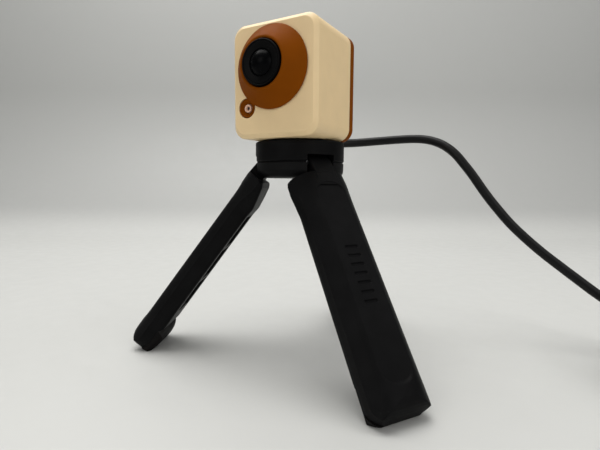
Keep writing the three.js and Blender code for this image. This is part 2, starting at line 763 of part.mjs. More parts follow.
// The tapered relief is clipped in the back plate: a collar outside, a neck through it and a flange inside
// whose flat lower edge lies along the floor of the shell.
function strainRelief() {
  const collar = 3.9;
  const section = [
    [0, FLANGE_FRONT],
    [FLANGE_RADIUS, FLANGE_FRONT],
    [FLANGE_RADIUS, SHELL_BACK],
    [NECK_RADIUS, SHELL_BACK],
    [NECK_RADIUS, PLATE_BACK - GAP],
    [collar, PLATE_BACK - GAP],
    [collar, PLATE_BACK - 2.4],
    [collar - 0.4, PLATE_BACK - 3],
    [CABLE_RADIUS + 0.5, PLATE_BACK - RELIEF_LENGTH],
    [0, PLATE_BACK - RELIEF_LENGTH],
  ];
  const floor = BODY_FLOOR + WALL + GAP;
  const shellFloor = block([-20, floor - 5, SHELL_BACK - 0.01], [0, floor, 0]);
  const body = cut(moved(turned(section, 20), CABLE_X, CABLE_Y, 0), shellFloor);
  return piece("strain_relief", body, CABLE_BLACK);
}

// The stripped inner lead, from the relief's flange up to the connector on the board.
function innerLead() {
  const from = FLANGE_FRONT + GAP;
  const to = CONNECTOR_Y - 2 - GAP;
  const under = -BOARD_FRONT - BOARD_THICKNESS - 3;
  const curve = new THREE.CatmullRomCurve3([
    new THREE.Vector3(CABLE_X, CABLE_Y, from),
    new THREE.Vector3(CABLE_X, CABLE_Y + 0.4, from + 1.4),
    new THREE.Vector3(CABLE_X, CABLE_Y + 5, under),
    new THREE.Vector3(CABLE_X, CABLE_Y + 9, under),
    new THREE.Vector3(CABLE_X, to, under),
  ]);
  return piece("inner_lead", wire(curve, 1.3, 10, 6), CABLE_BLACK);
}

// The cable's open run, chosen by hand: out of the relief, round to +X, over and down to the coil.
const CABLE_ROUTE = [
  [-9, 29, 98.6],
  [-8.6, 34, 98.4],
  [-6.9, 41, 98],
  [-2.4, 47.5, 98],
  [4.5, 53, 98.5],
  [14, 58.3, 99.4],
  [23.5, 62.2, 100.1],
  [31.3, 64.8, 100.4],
  [37.2, 66, 100],
  [42.2, 66.2, 98.8],
  [46.9, 65.9, 96.8],
  [51.2, 65.2, 93.9],
  [54.6, 64.6, 90.8],
  [58.1, 64.3, 86.6],
  [62.2, 64.2, 81.4],
  [68.8, 64.2, 72],
  [73.2, 64.6, 66.2],
  [81, 65.6, 56.9],
  [88.8, 66.5, 49.3],
  [96.1, 67.1, 43],
  [103.6, 67.4, 37.2],
  [111, 67.6, 31.6],
  [118.2, 67.7, 26.3],
  [124.5, 67.7, 22.3],
  [129.5, 67.7, 19.8],
];

function routeCurve(points) {
  return new THREE.CatmullRomCurve3(points.map(([x, y, z]) => new THREE.Vector3(x, y, z)), false, "centripetal");
}

function cableRun() {
  return piece("cable", wire(routeCurve(CABLE_ROUTE), CABLE_RADIUS, 36, 8), CABLE_BLACK);
}

// The outer shape of the coil's layers of turns.
function cableCoil() {
  const inside = COIL_INNER - CABLE_RADIUS;
  const outside = COIL_OUTER + CABLE_RADIUS;
  const top = COIL_LIFT + COIL_LAYERS * 2 * CABLE_RADIUS;
  const ring = turned([
    [inside, COIL_LIFT + 1],
    [inside + 1, COIL_LIFT],
    [outside - 1, COIL_LIFT],
    [outside, COIL_LIFT + 1],
    [outside, top - 1],
    [outside - 1, top],
    [inside + 1, top],
    [inside, top - 1],
  ]);
  return piece("cable_coil", moved(ring, COIL_X, COIL_Y, 0), CABLE_BLACK);
}

// A band round the coil's bundle of turns.
function cableTie() {
  const thickness = 0.6;
  const halfBand = 3;
  const inner = COIL_INNER - CABLE_RADIUS - 2 * GAP;
  const outer = COIL_OUTER + CABLE_RADIUS + GAP;
  const bottom = COIL_LIFT - GAP;
  const top = COIL_LIFT + COIL_LAYERS * 2 * CABLE_RADIUS + GAP;
  const around = block([inner - thickness, -halfBand, 0], [outer + thickness, halfBand, top + thickness]);
  const inside = block([inner, -halfBand - 1, bottom], [outer, halfBand + 1, top]);
  const band = atAngle(cut(around, inside), THREE.MathUtils.degToRad(-60));
  return piece("cable_tie", moved(band, COIL_X, COIL_Y, 0), RUBBER);
}

// The short tail from the coil's lowest turn to the plug.
function cableTail() {
  const x = COIL_X + COIL_OUTER;
  const low = COIL_LIFT + CABLE_RADIUS;
  const plugMiddle = PLUG_THICKNESS / 2;
  const curve = routeCurve([
    [x, COIL_Y - 18.4, low],
    [x, (COIL_Y - 18.4 + PLUG_Y) / 2, low + 0.3],
    [x, PLUG_Y + GAP, plugMiddle],
  ]);
  return piece("cable_tail", wire(curve, CABLE_RADIUS, 4, 8), CABLE_BLACK);
}

const PLUG_X = COIL_X + COIL_OUTER;

function plugHousing() {
  const boot = 8;
  const outline = roundedRectangle(PLUG_WIDTH, PLUG_THICKNESS, 2.4, PLUG_THICKNESS / 2);
  const body = prism(outline, "y", -PLUG_LENGTH, -boot, 3);
  const taper = new THREE.CylinderGeometry(2.9, 3.9, boot + 1, SMALL_ROUND);
  taper.translate(0, -(boot + 1) / 2, PLUG_THICKNESS / 2);
  return piece("plug_housing", moved(joined(body, solid(taper)), PLUG_X, PLUG_Y, 0), CABLE_BLACK);
}

const SHELL_WIDTH = 12;
const SHELL_HEIGHT = 4.5;
const PLUG_SHELL_LENGTH = 12;

function plugShell() {
  const middle = PLUG_THICKNESS / 2;
  const back = -PLUG_LENGTH - GAP;
  const wall = 0.35;
  const [w, h] = [SHELL_WIDTH / 2, SHELL_HEIGHT / 2];
  const outside = block([-w, back - PLUG_SHELL_LENGTH, middle - h], [w, back, middle + h]);
  const inside = block(
    [-w + wall, back - PLUG_SHELL_LENGTH - 1, middle - h + wall],
    [w - wall, back - 1, middle + h - wall],
  );
  const windows = [-2.8, 2.8].map((x) => (
    block([x - 1.1, back - 7.6, middle - h - 1], [x + 1.1, back - 5.2, middle + h + 1])
  ));
  return piece("plug_shell", moved(cut(outside, inside, ...windows), PLUG_X, PLUG_Y, 0), STEEL);
}

function plugTongue() {
  const middle = PLUG_THICKNESS / 2;
  const back = -PLUG_LENGTH - GAP - 1 - GAP;
  const tongue = block([-5.3, back - 10, middle - 1.6], [5.3, back, middle + 0.2]);
  return piece("plug_tongue", moved(tongue, PLUG_X, PLUG_Y, 0), CONNECTOR_WHITE);
}

// ---------- assembly ----------

const tripod = new THREE.Group();
tripod.add(headTop(), headBase(), stud(), topPad());
for (const i of legIndexes) {
  tripod.add(headScrew(i), hingePin(i), openLeg(i));
}

const camera = new THREE.Group();
camera.position.set(CAMERA_X, CAMERA_Y + FRONT_Y, LENS_HEIGHT);
camera.rotation.x = Math.PI / 2;
camera.add(frontShell(), backPlate(), ...plateScrews(), threadedInsert());
camera.add(lensBezel(), lensBarrel(), lensRetainer(), frontElement(), rearElement());
camera.add(lensHolder(), infraredFilter(), imageSensor(), circuitBoard(), ...boardScrews());
camera.add(boardConnector(), micCup(), micRing(), microphone(), strainRelief(), innerLead());

const lead = new THREE.Group();
lead.position.set(CAMERA_X, CAMERA_Y, 0);
lead.add(cableRun(), cableCoil(), cableTie(), cableTail(), plugHousing(), plugShell(), plugTongue());

const webcam = new THREE.Group();
webcam.name = "webcam_on_tripod";
webcam.position.set(AXIS_X, AXIS_Y, 0);
webcam.add(tripod, camera, lead);

export default webcam;
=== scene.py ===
import json
import math

import bmesh
import bpy
import numpy as np
from mathutils import Matrix, Vector


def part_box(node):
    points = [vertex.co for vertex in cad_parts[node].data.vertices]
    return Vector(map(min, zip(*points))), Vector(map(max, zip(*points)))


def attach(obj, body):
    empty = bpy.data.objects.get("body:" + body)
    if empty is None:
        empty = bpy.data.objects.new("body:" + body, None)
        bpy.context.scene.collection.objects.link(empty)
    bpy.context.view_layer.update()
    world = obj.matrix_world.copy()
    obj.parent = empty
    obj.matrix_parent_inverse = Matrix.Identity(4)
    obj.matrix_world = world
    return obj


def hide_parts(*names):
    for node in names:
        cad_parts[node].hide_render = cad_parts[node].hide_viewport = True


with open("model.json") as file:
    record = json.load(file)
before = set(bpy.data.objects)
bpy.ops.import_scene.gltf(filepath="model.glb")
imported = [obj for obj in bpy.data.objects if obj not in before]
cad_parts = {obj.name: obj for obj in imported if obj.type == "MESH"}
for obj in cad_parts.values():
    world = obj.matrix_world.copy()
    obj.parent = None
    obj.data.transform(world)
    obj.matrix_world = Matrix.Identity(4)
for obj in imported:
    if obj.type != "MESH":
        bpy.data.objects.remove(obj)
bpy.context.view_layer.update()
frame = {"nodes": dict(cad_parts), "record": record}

MM = 0.001
LENS_HEIGHT = 121.45
FRONT_TO_MIDDLE = 24.25  # from the camera's front face back to the middle of its box
VIEW_YAW = math.radians(30.332)
VIEW_PITCH = math.radians(5.646)
VIEW_ROLL = math.radians(0.388)
VIEW_PLACE = Vector((96.213, -166.275, 76.126))  # from the middle of the camera box on the table
VIEW_LENS = 25.33
SENSOR_WIDTH = 36

# ---------- places taken from the frame ----------

joints = {joint["name"]: joint for joint in frame["record"]["behaviour"]["joints"]}
AXIS = Vector(joints["camera_turn"]["pos_m"])
AXIS.z = 0
LENS = Vector(joints["lens_focus"]["pos_m"])
TILT = math.radians(36.4)  # how far an open leg leans from upright
# The middle of the camera box stands a little off the head's axis.
BOX = Vector((LENS.x, LENS.y + FRONT_TO_MIDDLE * MM, 0))

# The head's pieces are laid out round its axis, in millimetres.
HEAD = Matrix.Translation(AXIS) @ Matrix.Scale(MM, 4)
# The cable's pieces are laid out from the middle of the camera box.
LEAD = Matrix.Translation(BOX) @ Matrix.Scale(MM, 4)
# The camera's pieces are laid out from the lens axis at the front face: x right, y up, z forward.
CAMERA = (Matrix.Translation(LENS) @ Matrix(((1, 0, 0), (0, 0, -1), (0, 1, 0))).to_4x4()
          @ Matrix.Scale(MM, 4))


def leg_place(index):
    """A leg's frame at its hinge pin: x out to its crown, y across and z up the leg."""
    joint = joints[f"leg_{index}_fold"]
    across = Vector(joint["axis"]).normalized()
    up = Vector((0, 0, 1))
    radial = across.cross(up)
    crown = radial * math.cos(TILT) + up * math.sin(TILT)
    along = up * math.cos(TILT) - radial * math.sin(TILT)
    turn = Matrix((crown, across, along)).transposed().to_4x4()
    return Matrix.Translation(joint["pos_m"]) @ turn @ Matrix.Scale(MM, 4)


# ---------- camera and cable come first ----------

def add_camera():
    level = Vector((-math.sin(VIEW_YAW), math.cos(VIEW_YAW), 0))
    right = Vector((math.cos(VIEW_YAW), math.sin(VIEW_YAW), 0))
    up = Vector((0, 0, 1))
    forward = level * math.cos(VIEW_PITCH) - up * math.sin(VIEW_PITCH)
    above = level * math.sin(VIEW_PITCH) + up * math.cos(VIEW_PITCH)
    x = right * math.cos(VIEW_ROLL) + above * math.sin(VIEW_ROLL)
    y = above * math.cos(VIEW_ROLL) - right * math.sin(VIEW_ROLL)
    data = bpy.data.cameras.new("view")
    data.sensor_width = SENSOR_WIDTH
    data.lens = VIEW_LENS
    data.clip_start = 0.01
    data.clip_end = 20
    camera = bpy.data.objects.new("view", data)
    place = Matrix((x, y, -forward)).transposed().to_4x4()
    camera.matrix_world = Matrix.Translation(BOX + VIEW_PLACE * MM) @ place
    bpy.context.scene.collection.objects.link(camera)
    bpy.context.scene.camera = camera


add_camera()

# The cable's open run, from inside its strain relief to where the coil begins, in millimetres.
CABLE_ROUTE = [
    (-9, 27, 98.6), (-8.95, 30, 98.57), (-8.6, 34, 98.4), (-6.9, 41, 98), (-2.4, 47.5, 98),
    (4.5, 53, 98.5), (14, 58.3, 99.4), (23.5, 62.2, 100.1), (31.3, 64.8, 100.4), (37.2, 66, 100),
    (42.2, 66.2, 98.8), (46.9, 65.9, 96.8), (51.2, 65.2, 93.9), (54.6, 64.6, 90.8),
    (58.1, 64.3, 86.6), (62.2, 64.2, 81.4), (68.8, 64.2, 72), (73.2, 64.6, 66.2), (81, 65.6, 56.9),
    (88.8, 66.5, 49.3), (96.1, 67.1, 43), (103.6, 67.4, 37.2), (111, 67.6, 31.6),
    (118.2, 67.7, 26.3), (124.5, 67.7, 22.3), (130.5, 67.74, 19.5), (138, 67.75, 17.5),
    (145, 67.75, 16.75),
]
CABLE_RADIUS = 2.25
CABLE_EXIT = (-9, 10.45, 98.6)
RUN_STEPS = 5  # points in each span of the open run
COIL_MIDDLE = (152, 37.6)
COIL_INNER = 22.5
COIL_TURNS = 1.7
COIL_LAYERS = 4
COIL_TOP = 16.65
TURN_STEPS = 48  # points in each turn of the coil
CLIMB_TURNS = 0.15  # the share of a turn in which the cable drops to the next layer
CLIMB_STEPS = 7
PLUG_Y = 3.5
PLUG_THICKNESS = 8


def smooth_path(points, per_span):
    """A centripetal spline through the points."""
    points = [Vector(p) for p in points]
    points = [points[0] * 2 - points[1], *points, points[-1] * 2 - points[-2]]
    path = []
    for a, b, c, d in zip(points, points[1:], points[2:], points[3:]):
        t1 = (b - a).length ** 0.5
        t2 = t1 + (c - b).length ** 0.5
        t3 = t2 + (d - c).length ** 0.5
        for i in range(per_span):
            t = t1 + (t2 - t1) * i / per_span
            p1 = a * (t1 - t) / t1 + b * t / t1
            p2 = b * (t2 - t) / (t2 - t1) + c * (t - t1) / (t2 - t1)
            p3 = c * (t3 - t) / (t3 - t2) + d * (t - t2) / (t3 - t2)
            q1 = p1 * (t2 - t) / t2 + p2 * t / t2
            q2 = p2 * (t3 - t) / (t3 - t1) + p3 * (t - t1) / (t3 - t1)
            path.append(q1 * (t2 - t) / (t2 - t1) + q2 * (t - t1) / (t2 - t1))
    return [*path, points[-2]]


def coil_path():
    """Flat spiral layers, each wound in or out and lying on the one below it."""
    growth = 2 * CABLE_RADIUS
    outer = COIL_INNER + COIL_TURNS * growth
    turn, path = 0, []
    for layer in range(COIL_LAYERS):
        height = COIL_TOP - layer * growth
        first, last = (outer, COIL_INNER) if layer % 2 == 0 else (COIL_INNER, outer)
        steps = round(COIL_TURNS * TURN_STEPS)
        for i in range(steps + 1):
            share = i / steps
            path.append((turn + share * COIL_TURNS, first + (last - first) * share, height))
        turn += COIL_TURNS
        if layer < COIL_LAYERS - 1:
            for i in range(1, CLIMB_STEPS):
                share = i / CLIMB_STEPS
                ease = share * share * (3 - 2 * share)
                path.append((turn + share * CLIMB_TURNS, last, height - growth * ease))
            turn += CLIMB_TURNS
    x, y = COIL_MIDDLE
    made = []
    for turned, radius, height in path:
        angle = math.pi / 2 - turned * 2 * math.pi
        made.append(Vector((x + radius * math.cos(angle), y + radius * math.sin(angle), height)))
    return made


def cable_path():
    coil = coil_path()
    run = smooth_path([*CABLE_ROUTE, coil[0]], RUN_STEPS)[:-1]
    end = coil[-1]
    tail = [end + (Vector((end.x, PLUG_Y + 0.2, PLUG_THICKNESS / 2)) - end) * share
            for share in (0.25, 0.5, 0.75, 1)]
    return run + coil + tail


def add_cable():
    data = bpy.data.curves.new("cable_cord", "CURVE")
    data.dimensions = "3D"
    data.bevel_depth = CABLE_RADIUS * MM
    data.bevel_resolution = 6
    data.use_fill_caps = True
    path = cable_path()
    spline = data.splines.new("POLY")
    spline.points.add(len(path) - 1)
    for point, place in zip(spline.points, path):
        point.co = (*(BOX + place * MM), 1)
    cable = bpy.data.objects.new("cable_cord", data)
    bpy.context.scene.collection.objects.link(cable)
    return cable


cable = add_cable()

# ---------- mesh helpers: everything is made in millimetres and then put in its place ----------


def mesh_piece(name, points, faces):
    mesh = bpy.data.meshes.new(name)
    mesh.from_pydata([tuple(p) for p in points], [], [tuple(f) for f in faces])
    made = bmesh.new()
    made.from_mesh(mesh)
    bmesh.ops.remove_doubles(made, verts=made.verts, dist=1e-5)
    bmesh.ops.recalc_face_normals(made, faces=made.faces)
    made.to_mesh(mesh)
    made.free()
    piece = bpy.data.objects.new(name, mesh)
    bpy.context.scene.collection.objects.link(piece)
    return piece


def loft(name, rings, closed=False):
    """Quads between rings of as many points, with the first and last ring filled or joined."""
    count = len(rings[0])
    points = [p for ring in rings for p in ring]
    faces = []
    pairs = len(rings) if closed else len(rings) - 1
    for i in range(pairs):
        low, high = i * count, (i + 1) % len(rings) * count
        for j in range(count):
            k = (j + 1) % count
            faces.append((low + j, low + k, high + k, high + j))
    if not closed:
        faces.append(tuple(range(count)))
        faces.append(tuple(range(len(points) - count, len(points))))
    return mesh_piece(name, points, faces)


def lathe(name, section, middle=(0, 0), sides=96):
    """A section of (radius, height) pairs turned round z: a closed loop, or open from axis to axis."""
    x, y = middle
    turns = [2 * math.pi * i / sides for i in range(sides)]
    rings = [[(x + radius * math.cos(a), y + radius * math.sin(a), height) for a in turns]
             for radius, height in section]
    if section[0][0] == 0 and section[-1][0] == 0:
        points = [p for ring in rings[1:-1] for p in ring]
        faces = []
        for i in range(len(rings) - 3):
            for j in range(sides):
                k = (j + 1) % sides
                faces.append((i * sides + j, i * sides + k, (i + 1) * sides + k, (i + 1) * sides + j))
        low, high = len(points), len(points) + 1
        points += [(x, y, section[0][1]), (x, y, section[-1][1])]
        last = (len(rings) - 3) * sides
        for j in range(sides):
            k = (j + 1) % sides
            faces.append((low, k, j))
            faces.append((high, last + j, last + k))
        return mesh_piece(name, points, faces)
    return loft(name, rings, closed=True)


def rounded(section, radius, steps=4):
    """A closed section with its corners rounded to about the radius, where its sides have room."""
    made = []
    count = len(section)
    for i, corner in enumerate(section):
        here = Vector(corner)
        before, after = Vector(section[i - 1]) - here, Vector(section[(i + 1) % count]) - here
        reach = min(radius, 0.45 * before.length, 0.45 * after.length)
        turn = before.angle(after) if before.length > 0 and after.length > 0 else math.pi
        if turn > math.radians(168) or reach < 1e-4:
            made.append(tuple(here))
            continue
        start, end = here + before.normalized() * reach, here + after.normalized() * reach
        for step in range(steps + 1):
            t = step / steps
            made.append(tuple(start * (1 - t) ** 2 + here * 2 * t * (1 - t) + end * t * t))
    return made


def prism(name, outline, axis, low, high):
    """An outline pushed along an axis: its numbers are (y, z) for x, (x, z) for y and (x, y) for z."""
    def at(u, v, t):
        return {"x": (t, u, v), "y": (u, t, v), "z": (u, v, t)}[axis]
    return loft(name, [[at(u, v, low) for u, v in outline], [at(u, v, high) for u, v in outline]])


def block(name, low, high):
    outline = [(low[0], low[1]), (high[0], low[1]), (high[0], high[1]), (low[0], high[1])]
    return prism(name, outline, "z", low[2], high[2])


def rod(name, radius, low, high, middle=(0, 0), sides=48, axis="z"):
    circle = [(middle[0] + radius * math.cos(2 * math.pi * i / sides),
               middle[1] + radius * math.sin(2 * math.pi * i / sides)) for i in range(sides)]
    return prism(name, circle, axis, low, high)


def rounded_rectangle(width, height, radius, middle=0, steps=12):
    """The outline of a rectangle with round corners, centred on (0, middle)."""
    points = []
    for corner in range(4):
        side_x, side_y = ((1, 1), (-1, 1), (-1, -1), (1, -1))[corner]
        x = side_x * (width / 2 - radius)
        y = middle + side_y * (height / 2 - radius)
        for step in range(steps + 1):
            angle = math.pi / 2 * (corner + step / steps)
            points.append((x + radius * math.cos(angle), y + radius * math.sin(angle)))
    return points


def applied(piece):
    """The piece with its modifiers made part of its mesh."""
    graph = bpy.context.evaluated_depsgraph_get()
    made = bpy.data.meshes.new_from_object(piece.evaluated_get(graph))
    piece.modifiers.clear()
    old = piece.data
    piece.data = made
    bpy.data.meshes.remove(old)
    return piece


def boolean(piece, others, operation="DIFFERENCE"):
    for other in others:
        change = piece.modifiers.new("change", "BOOLEAN")
        change.object = other
        change.operation = operation
        change.solver = "EXACT"
    applied(piece)
    for other in others:
        bpy.data.objects.remove(other)
    return piece


def softened(piece, width, segments=2, angle=32):
    """Small rounds along the piece's sharp edges, so that they catch the light."""
    bevel = piece.modifiers.new("edges", "BEVEL")
    bevel.width = width
    bevel.segments = segments
    bevel.limit_method = "ANGLE"
    bevel.angle_limit = math.radians(angle)
    bevel.use_clamp_overlap = True
    weighted = piece.modifiers.new("normals", "WEIGHTED_NORMAL")
    weighted.keep_sharp = True
    piece.data.shade_smooth()
    return applied(piece)


def smoothed(piece, angle=35):
    piece.data.shade_smooth()
    piece.data.set_sharp_from_angle(angle=math.radians(angle))
    return piece


def together(piece, *others):
    """One piece out of several meshes."""
    made = bmesh.new()
    made.from_mesh(piece.data)
    for other in others:
        made.from_mesh(other.data)
    made.to_mesh(piece.data)
    made.free()
    for other in others:
        bpy.data.objects.remove(other)
    return piece


def placed(piece, place, body, material, slot, *nodes):
    """Puts a piece in the frame, on its body, in its material and in place of its CAD nodes."""
    piece.data.transform(place)
    piece.data.materials.clear()
    piece.data.materials.append(material)
    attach(piece, body)
    if nodes:
        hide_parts(*nodes)
    return piece


# ---------- materials ----------

class Nodes:
    """A material's node tree, with short ways to add and join nodes."""

    def __init__(self, name):
        self.material = bpy.data.materials.new(name)
        self.material.use_nodes = True
        self.tree = self.material.node_tree
        self.shader = self.tree.nodes["Principled BSDF"]

    def add(self, kind, **settings):
        node = self.tree.nodes.new(kind)
        for key, value in settings.items():
            setattr(node, key, value)
        return node

    def join(self, output, target):
        self.tree.links.new(output, target)

    def noise(self, scale, detail=2.0, roughness=0.5, stretch=(1, 1, 1)):
        place = self.add("ShaderNodeTexCoord")
        mapping = self.add("ShaderNodeMapping")
        mapping.inputs["Scale"].default_value = stretch
        texture = self.add("ShaderNodeTexNoise")
        texture.inputs["Scale"].default_value = scale
        texture.inputs["Detail"].default_value = detail
        texture.inputs["Roughness"].default_value = roughness
        self.join(place.outputs["Object"], mapping.inputs["Vector"])
        self.join(mapping.outputs["Vector"], texture.inputs["Vector"])
        return texture.outputs["Fac"]

    def spread(self, value, low, high):
        node = self.add("ShaderNodeMapRange")
        node.inputs["From Min"].default_value = 0.3
        node.inputs["From Max"].default_value = 0.7
        node.inputs["To Min"].default_value = low
        node.inputs["To Max"].default_value = high
        self.join(value, node.inputs["Value"])
        return node.outputs["Result"]

    def mixed(self, factor, first, second):
        node = self.add("ShaderNodeMix", data_type="RGBA")
        for socket, value in ((node.inputs[6], first), (node.inputs[7], second)):
            if isinstance(value, tuple):
                socket.default_value = (*value, 1)
            else:
                self.join(value, socket)
        self.join(factor, node.inputs[0])
        return node.outputs[2]

    def bump(self, height, distance):
        node = self.add("ShaderNodeBump")
        node.inputs["Distance"].default_value = distance
        node.inputs["Strength"].default_value = 1
        self.join(height, node.inputs["Height"])
        return node.outputs["Normal"]


GLASS_IOR = 1.52


def shaded(color, amount):
    return tuple(min(1.0, c * amount) for c in color)


def plastic(name, color, roughness, grain=5000, grain_depth=0.00001, mottle=0.06, specular=0.5,
            wear=None):
    """Moulded plastic: a fine grain, soft clouds in colour and gloss, and paler edges if asked."""
    nodes = Nodes(name)
    cloud = nodes.noise(140, 3)
    paint = nodes.mixed(nodes.spread(cloud, 0, 1), shaded(color, 1 - mottle), shaded(color, 1 + mottle))
    if wear:
        edge = nodes.add("ShaderNodeNewGeometry")
        ramp = nodes.add("ShaderNodeMapRange")
        ramp.inputs["From Min"].default_value = 0.54
        ramp.inputs["From Max"].default_value = 0.64
        nodes.join(edge.outputs["Pointiness"], ramp.inputs["Value"])
        paint = nodes.mixed(ramp.outputs["Result"], paint, wear)
    nodes.join(paint, nodes.shader.inputs["Base Color"])
    smear = nodes.noise(320, 4, 0.6)
    nodes.join(nodes.spread(smear, roughness - 0.05, roughness + 0.05), nodes.shader.inputs["Roughness"])
    nodes.shader.inputs["Specular IOR Level"].default_value = specular
    fine = nodes.noise(grain, 2)
    nodes.join(nodes.bump(fine, grain_depth), nodes.shader.inputs["Normal"])
    return nodes.material


def metal(name, color, roughness, stretch=(1, 1, 1)):
    """Plated or turned metal, with fine drawn lines and small changes in gloss."""
    nodes = Nodes(name)
    lines = nodes.noise(900, 3, 0.6, stretch)
    paint = nodes.mixed(nodes.spread(lines, 0, 1), shaded(color, 0.9), shaded(color, 1.08))
    nodes.join(paint, nodes.shader.inputs["Base Color"])
    nodes.join(nodes.spread(lines, roughness - 0.06, roughness + 0.08), nodes.shader.inputs["Roughness"])
    nodes.shader.inputs["Metallic"].default_value = 1
    nodes.join(nodes.bump(lines, 0.000004), nodes.shader.inputs["Normal"])
    return nodes.material


def glass(name, color, roughness, specular=0.5):
    """Coated lens glass, dark, with a faint change of tint over its surface."""
    nodes = Nodes(name)
    cloud = nodes.noise(200, 1)
    paint = nodes.mixed(nodes.spread(cloud, 0, 1), shaded(color, 0.85), shaded(color, 1.15))
    nodes.join(paint, nodes.shader.inputs["Base Color"])
    smear = nodes.noise(700, 3)
    nodes.join(nodes.spread(smear, roughness, roughness + 0.03), nodes.shader.inputs["Roughness"])
    nodes.shader.inputs["IOR"].default_value = GLASS_IOR
    nodes.shader.inputs["Specular IOR Level"].default_value = specular
    return nodes.material


def board_green(name):
    """A circuit board: solder mask over faint square tracks."""
    nodes = Nodes(name)
    place = nodes.add("ShaderNodeTexCoord")
    tracks = nodes.add("ShaderNodeTexBrick")
    tracks.inputs["Scale"].default_value = 220
    tracks.inputs["Color1"].default_value = (0.012, 0.1, 0.03, 1)
    tracks.inputs["Color2"].default_value = (0.01, 0.075, 0.025, 1)
    tracks.inputs["Mortar"].default_value = (0.03, 0.16, 0.05, 1)
    nodes.join(place.outputs["Object"], tracks.inputs["Vector"])
    nodes.join(tracks.outputs["Color"], nodes.shader.inputs["Base Color"])
    nodes.join(nodes.spread(nodes.noise(500), 0.3, 0.45), nodes.shader.inputs["Roughness"])
    nodes.join(nodes.bump(tracks.outputs["Fac"], 0.00003), nodes.shader.inputs["Normal"])
    return nodes.material


CREAM = plastic("cream_plastic", (0.86, 0.65, 0.37), 0.5, 4200, 0.000012, 0.02, 0.4)
BROWN = plastic("brown_plastic", (0.2, 0.05, 0.0016), 0.55, 4200, 0.000012, 0.05, 0.02)
BLACK = plastic("black_plastic", (0.0052, 0.0052, 0.0055), 0.48, 3800, 0.000014, 0.15, 0.04,
                (0.0085, 0.0085, 0.0088))
LENS_BLACK = plastic("lens_black", (0.0012, 0.0012, 0.0013), 0.5, 5200, 0.000006, 0.1, 0.08)
RUBBER = plastic("black_rubber", (0.0048, 0.0040, 0.0039), 0.7, 2600, 0.00002, 0.2, 0.12)
JACKET = plastic("cable_jacket", (0.003, 0.003, 0.0032), 0.42, 3000, 0.000012, 0.15, 0.2)
IVORY = plastic("ivory_plastic", (0.78, 0.74, 0.64), 0.45)
PINK = plastic("pink_plastic", (0.78, 0.5, 0.36), 0.5)
STEEL = metal("plated_steel", (0.62, 0.63, 0.64), 0.3)
DARK_STEEL = metal("blackened_steel", (0.05, 0.05, 0.055), 0.42)
BRASS = metal("brass", (0.75, 0.52, 0.2), 0.3)
FRONT_GLASS = glass("front_glass", (0.0015, 0.0016, 0.002), 0.26, 0.03)
INNER_GLASS = glass("inner_glass", (0.012, 0.014, 0.02), 0.03)
BOARD = board_green("circuit_board_green")


# ---------- cable and plug ----------

BODY_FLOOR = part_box("front_shell")[0].z
PLATE_FRONT = -30.5
PLATE_BACK = -34.7
CABLE_LOCAL = (CABLE_EXIT[0], CABLE_EXIT[2] - LENS_HEIGHT)


def strain_relief():
    """A tapered relief with ring grooves, clipped in the back plate."""
    collar, neck = 3.9, 2.5
    tip = PLATE_BACK - 18
    section = [(0, PLATE_FRONT + 2.6), (3.1, PLATE_FRONT + 2.6), (3.1, -30.2), (neck, -30.2),
               (neck, PLATE_BACK - 0.3), (collar, PLATE_BACK - 0.3), (collar, PLATE_BACK - 2.3),
               (collar - 0.4, PLATE_BACK - 2.8)]
    for i in range(6):
        depth = PLATE_BACK - 4.2 - i * 2.1
        radius = collar - 0.4 + (2.75 - collar + 0.4) * (PLATE_BACK - 2.8 - depth) / 15.2
        section += [(radius + 0.02, depth + 0.45), (radius - 0.42, depth + 0.3),
                    (radius - 0.46, depth - 0.3), (radius - 0.06, depth - 0.45)]
    section += [(2.75, tip + 0.3), (2.55, tip), (0, tip)]
    piece = lathe("strain_relief_sleeve", section, CABLE_LOCAL, 64)
    floor = block("floor", (-20, -40, -30.25), (0, -24.75, 0))
    boolean(piece, [floor])
    return placed(smoothed(piece, 40), CAMERA, "camera", JACKET, "cable_jacket", "strain_relief")


def plug_place():
    x = COIL_MIDDLE[0] + COIL_INNER + COIL_TURNS * 2 * CABLE_RADIUS
    return LEAD @ Matrix.Translation((x, PLUG_Y, 0))


def plug_housing():
    """The plug's grip: a rounded moulding with side ridges and a tapered boot."""
    middle = PLUG_THICKNESS / 2
    body = prism("plug_grip", rounded_rectangle(15.6, 8, 2.4, middle, 8), "y", -27, -8)
    softened(body, 0.7, 3)
    cuts = []
    for side in (-1, 1):
        for i in range(6):
            y = -12 - i * 2
            x = side * 7.95
            low, high = (x - 0.5, y - 0.45, middle - 2.2), (x + 0.5, y + 0.45, middle + 2.2)
            cuts.append(block("ridge", low, high))
    boolean(body, cuts)
    boot = []
    for i in range(9):
        y = -8.6 + i * 1.07
        radius = 3.9 - (3.9 - 2.9) * i / 8
        boot.append([(radius * math.cos(a), y, middle + radius * math.sin(a))
                     for a in (2 * math.pi * j / 48 for j in range(48))])
    together(body, softened(loft("boot", boot), 0.35, 3))
    return placed(body, plug_place(), "camera", JACKET, "cable_jacket", "plug_housing")


def plug_shell():
    middle = PLUG_THICKNESS / 2
    back = -27.3
    shell = prism("plug_shell_metal", rounded_rectangle(12, 4.5, 0.6, middle, 5), "y", back - 12, back)
    inside = prism("inside", rounded_rectangle(11.3, 3.8, 0.3, middle, 5), "y", back - 13, back - 1)
    windows = [block("window", (x - 1.1, back - 7.6, middle - 3), (x + 1.1, back - 5.2, middle + 3))
               for x in (-2.8, 2.8)]
    boolean(shell, [inside, *windows])
    softened(shell, 0.08, 2)
    return placed(shell, plug_place(), "camera", STEEL, "steel", "plug_shell")


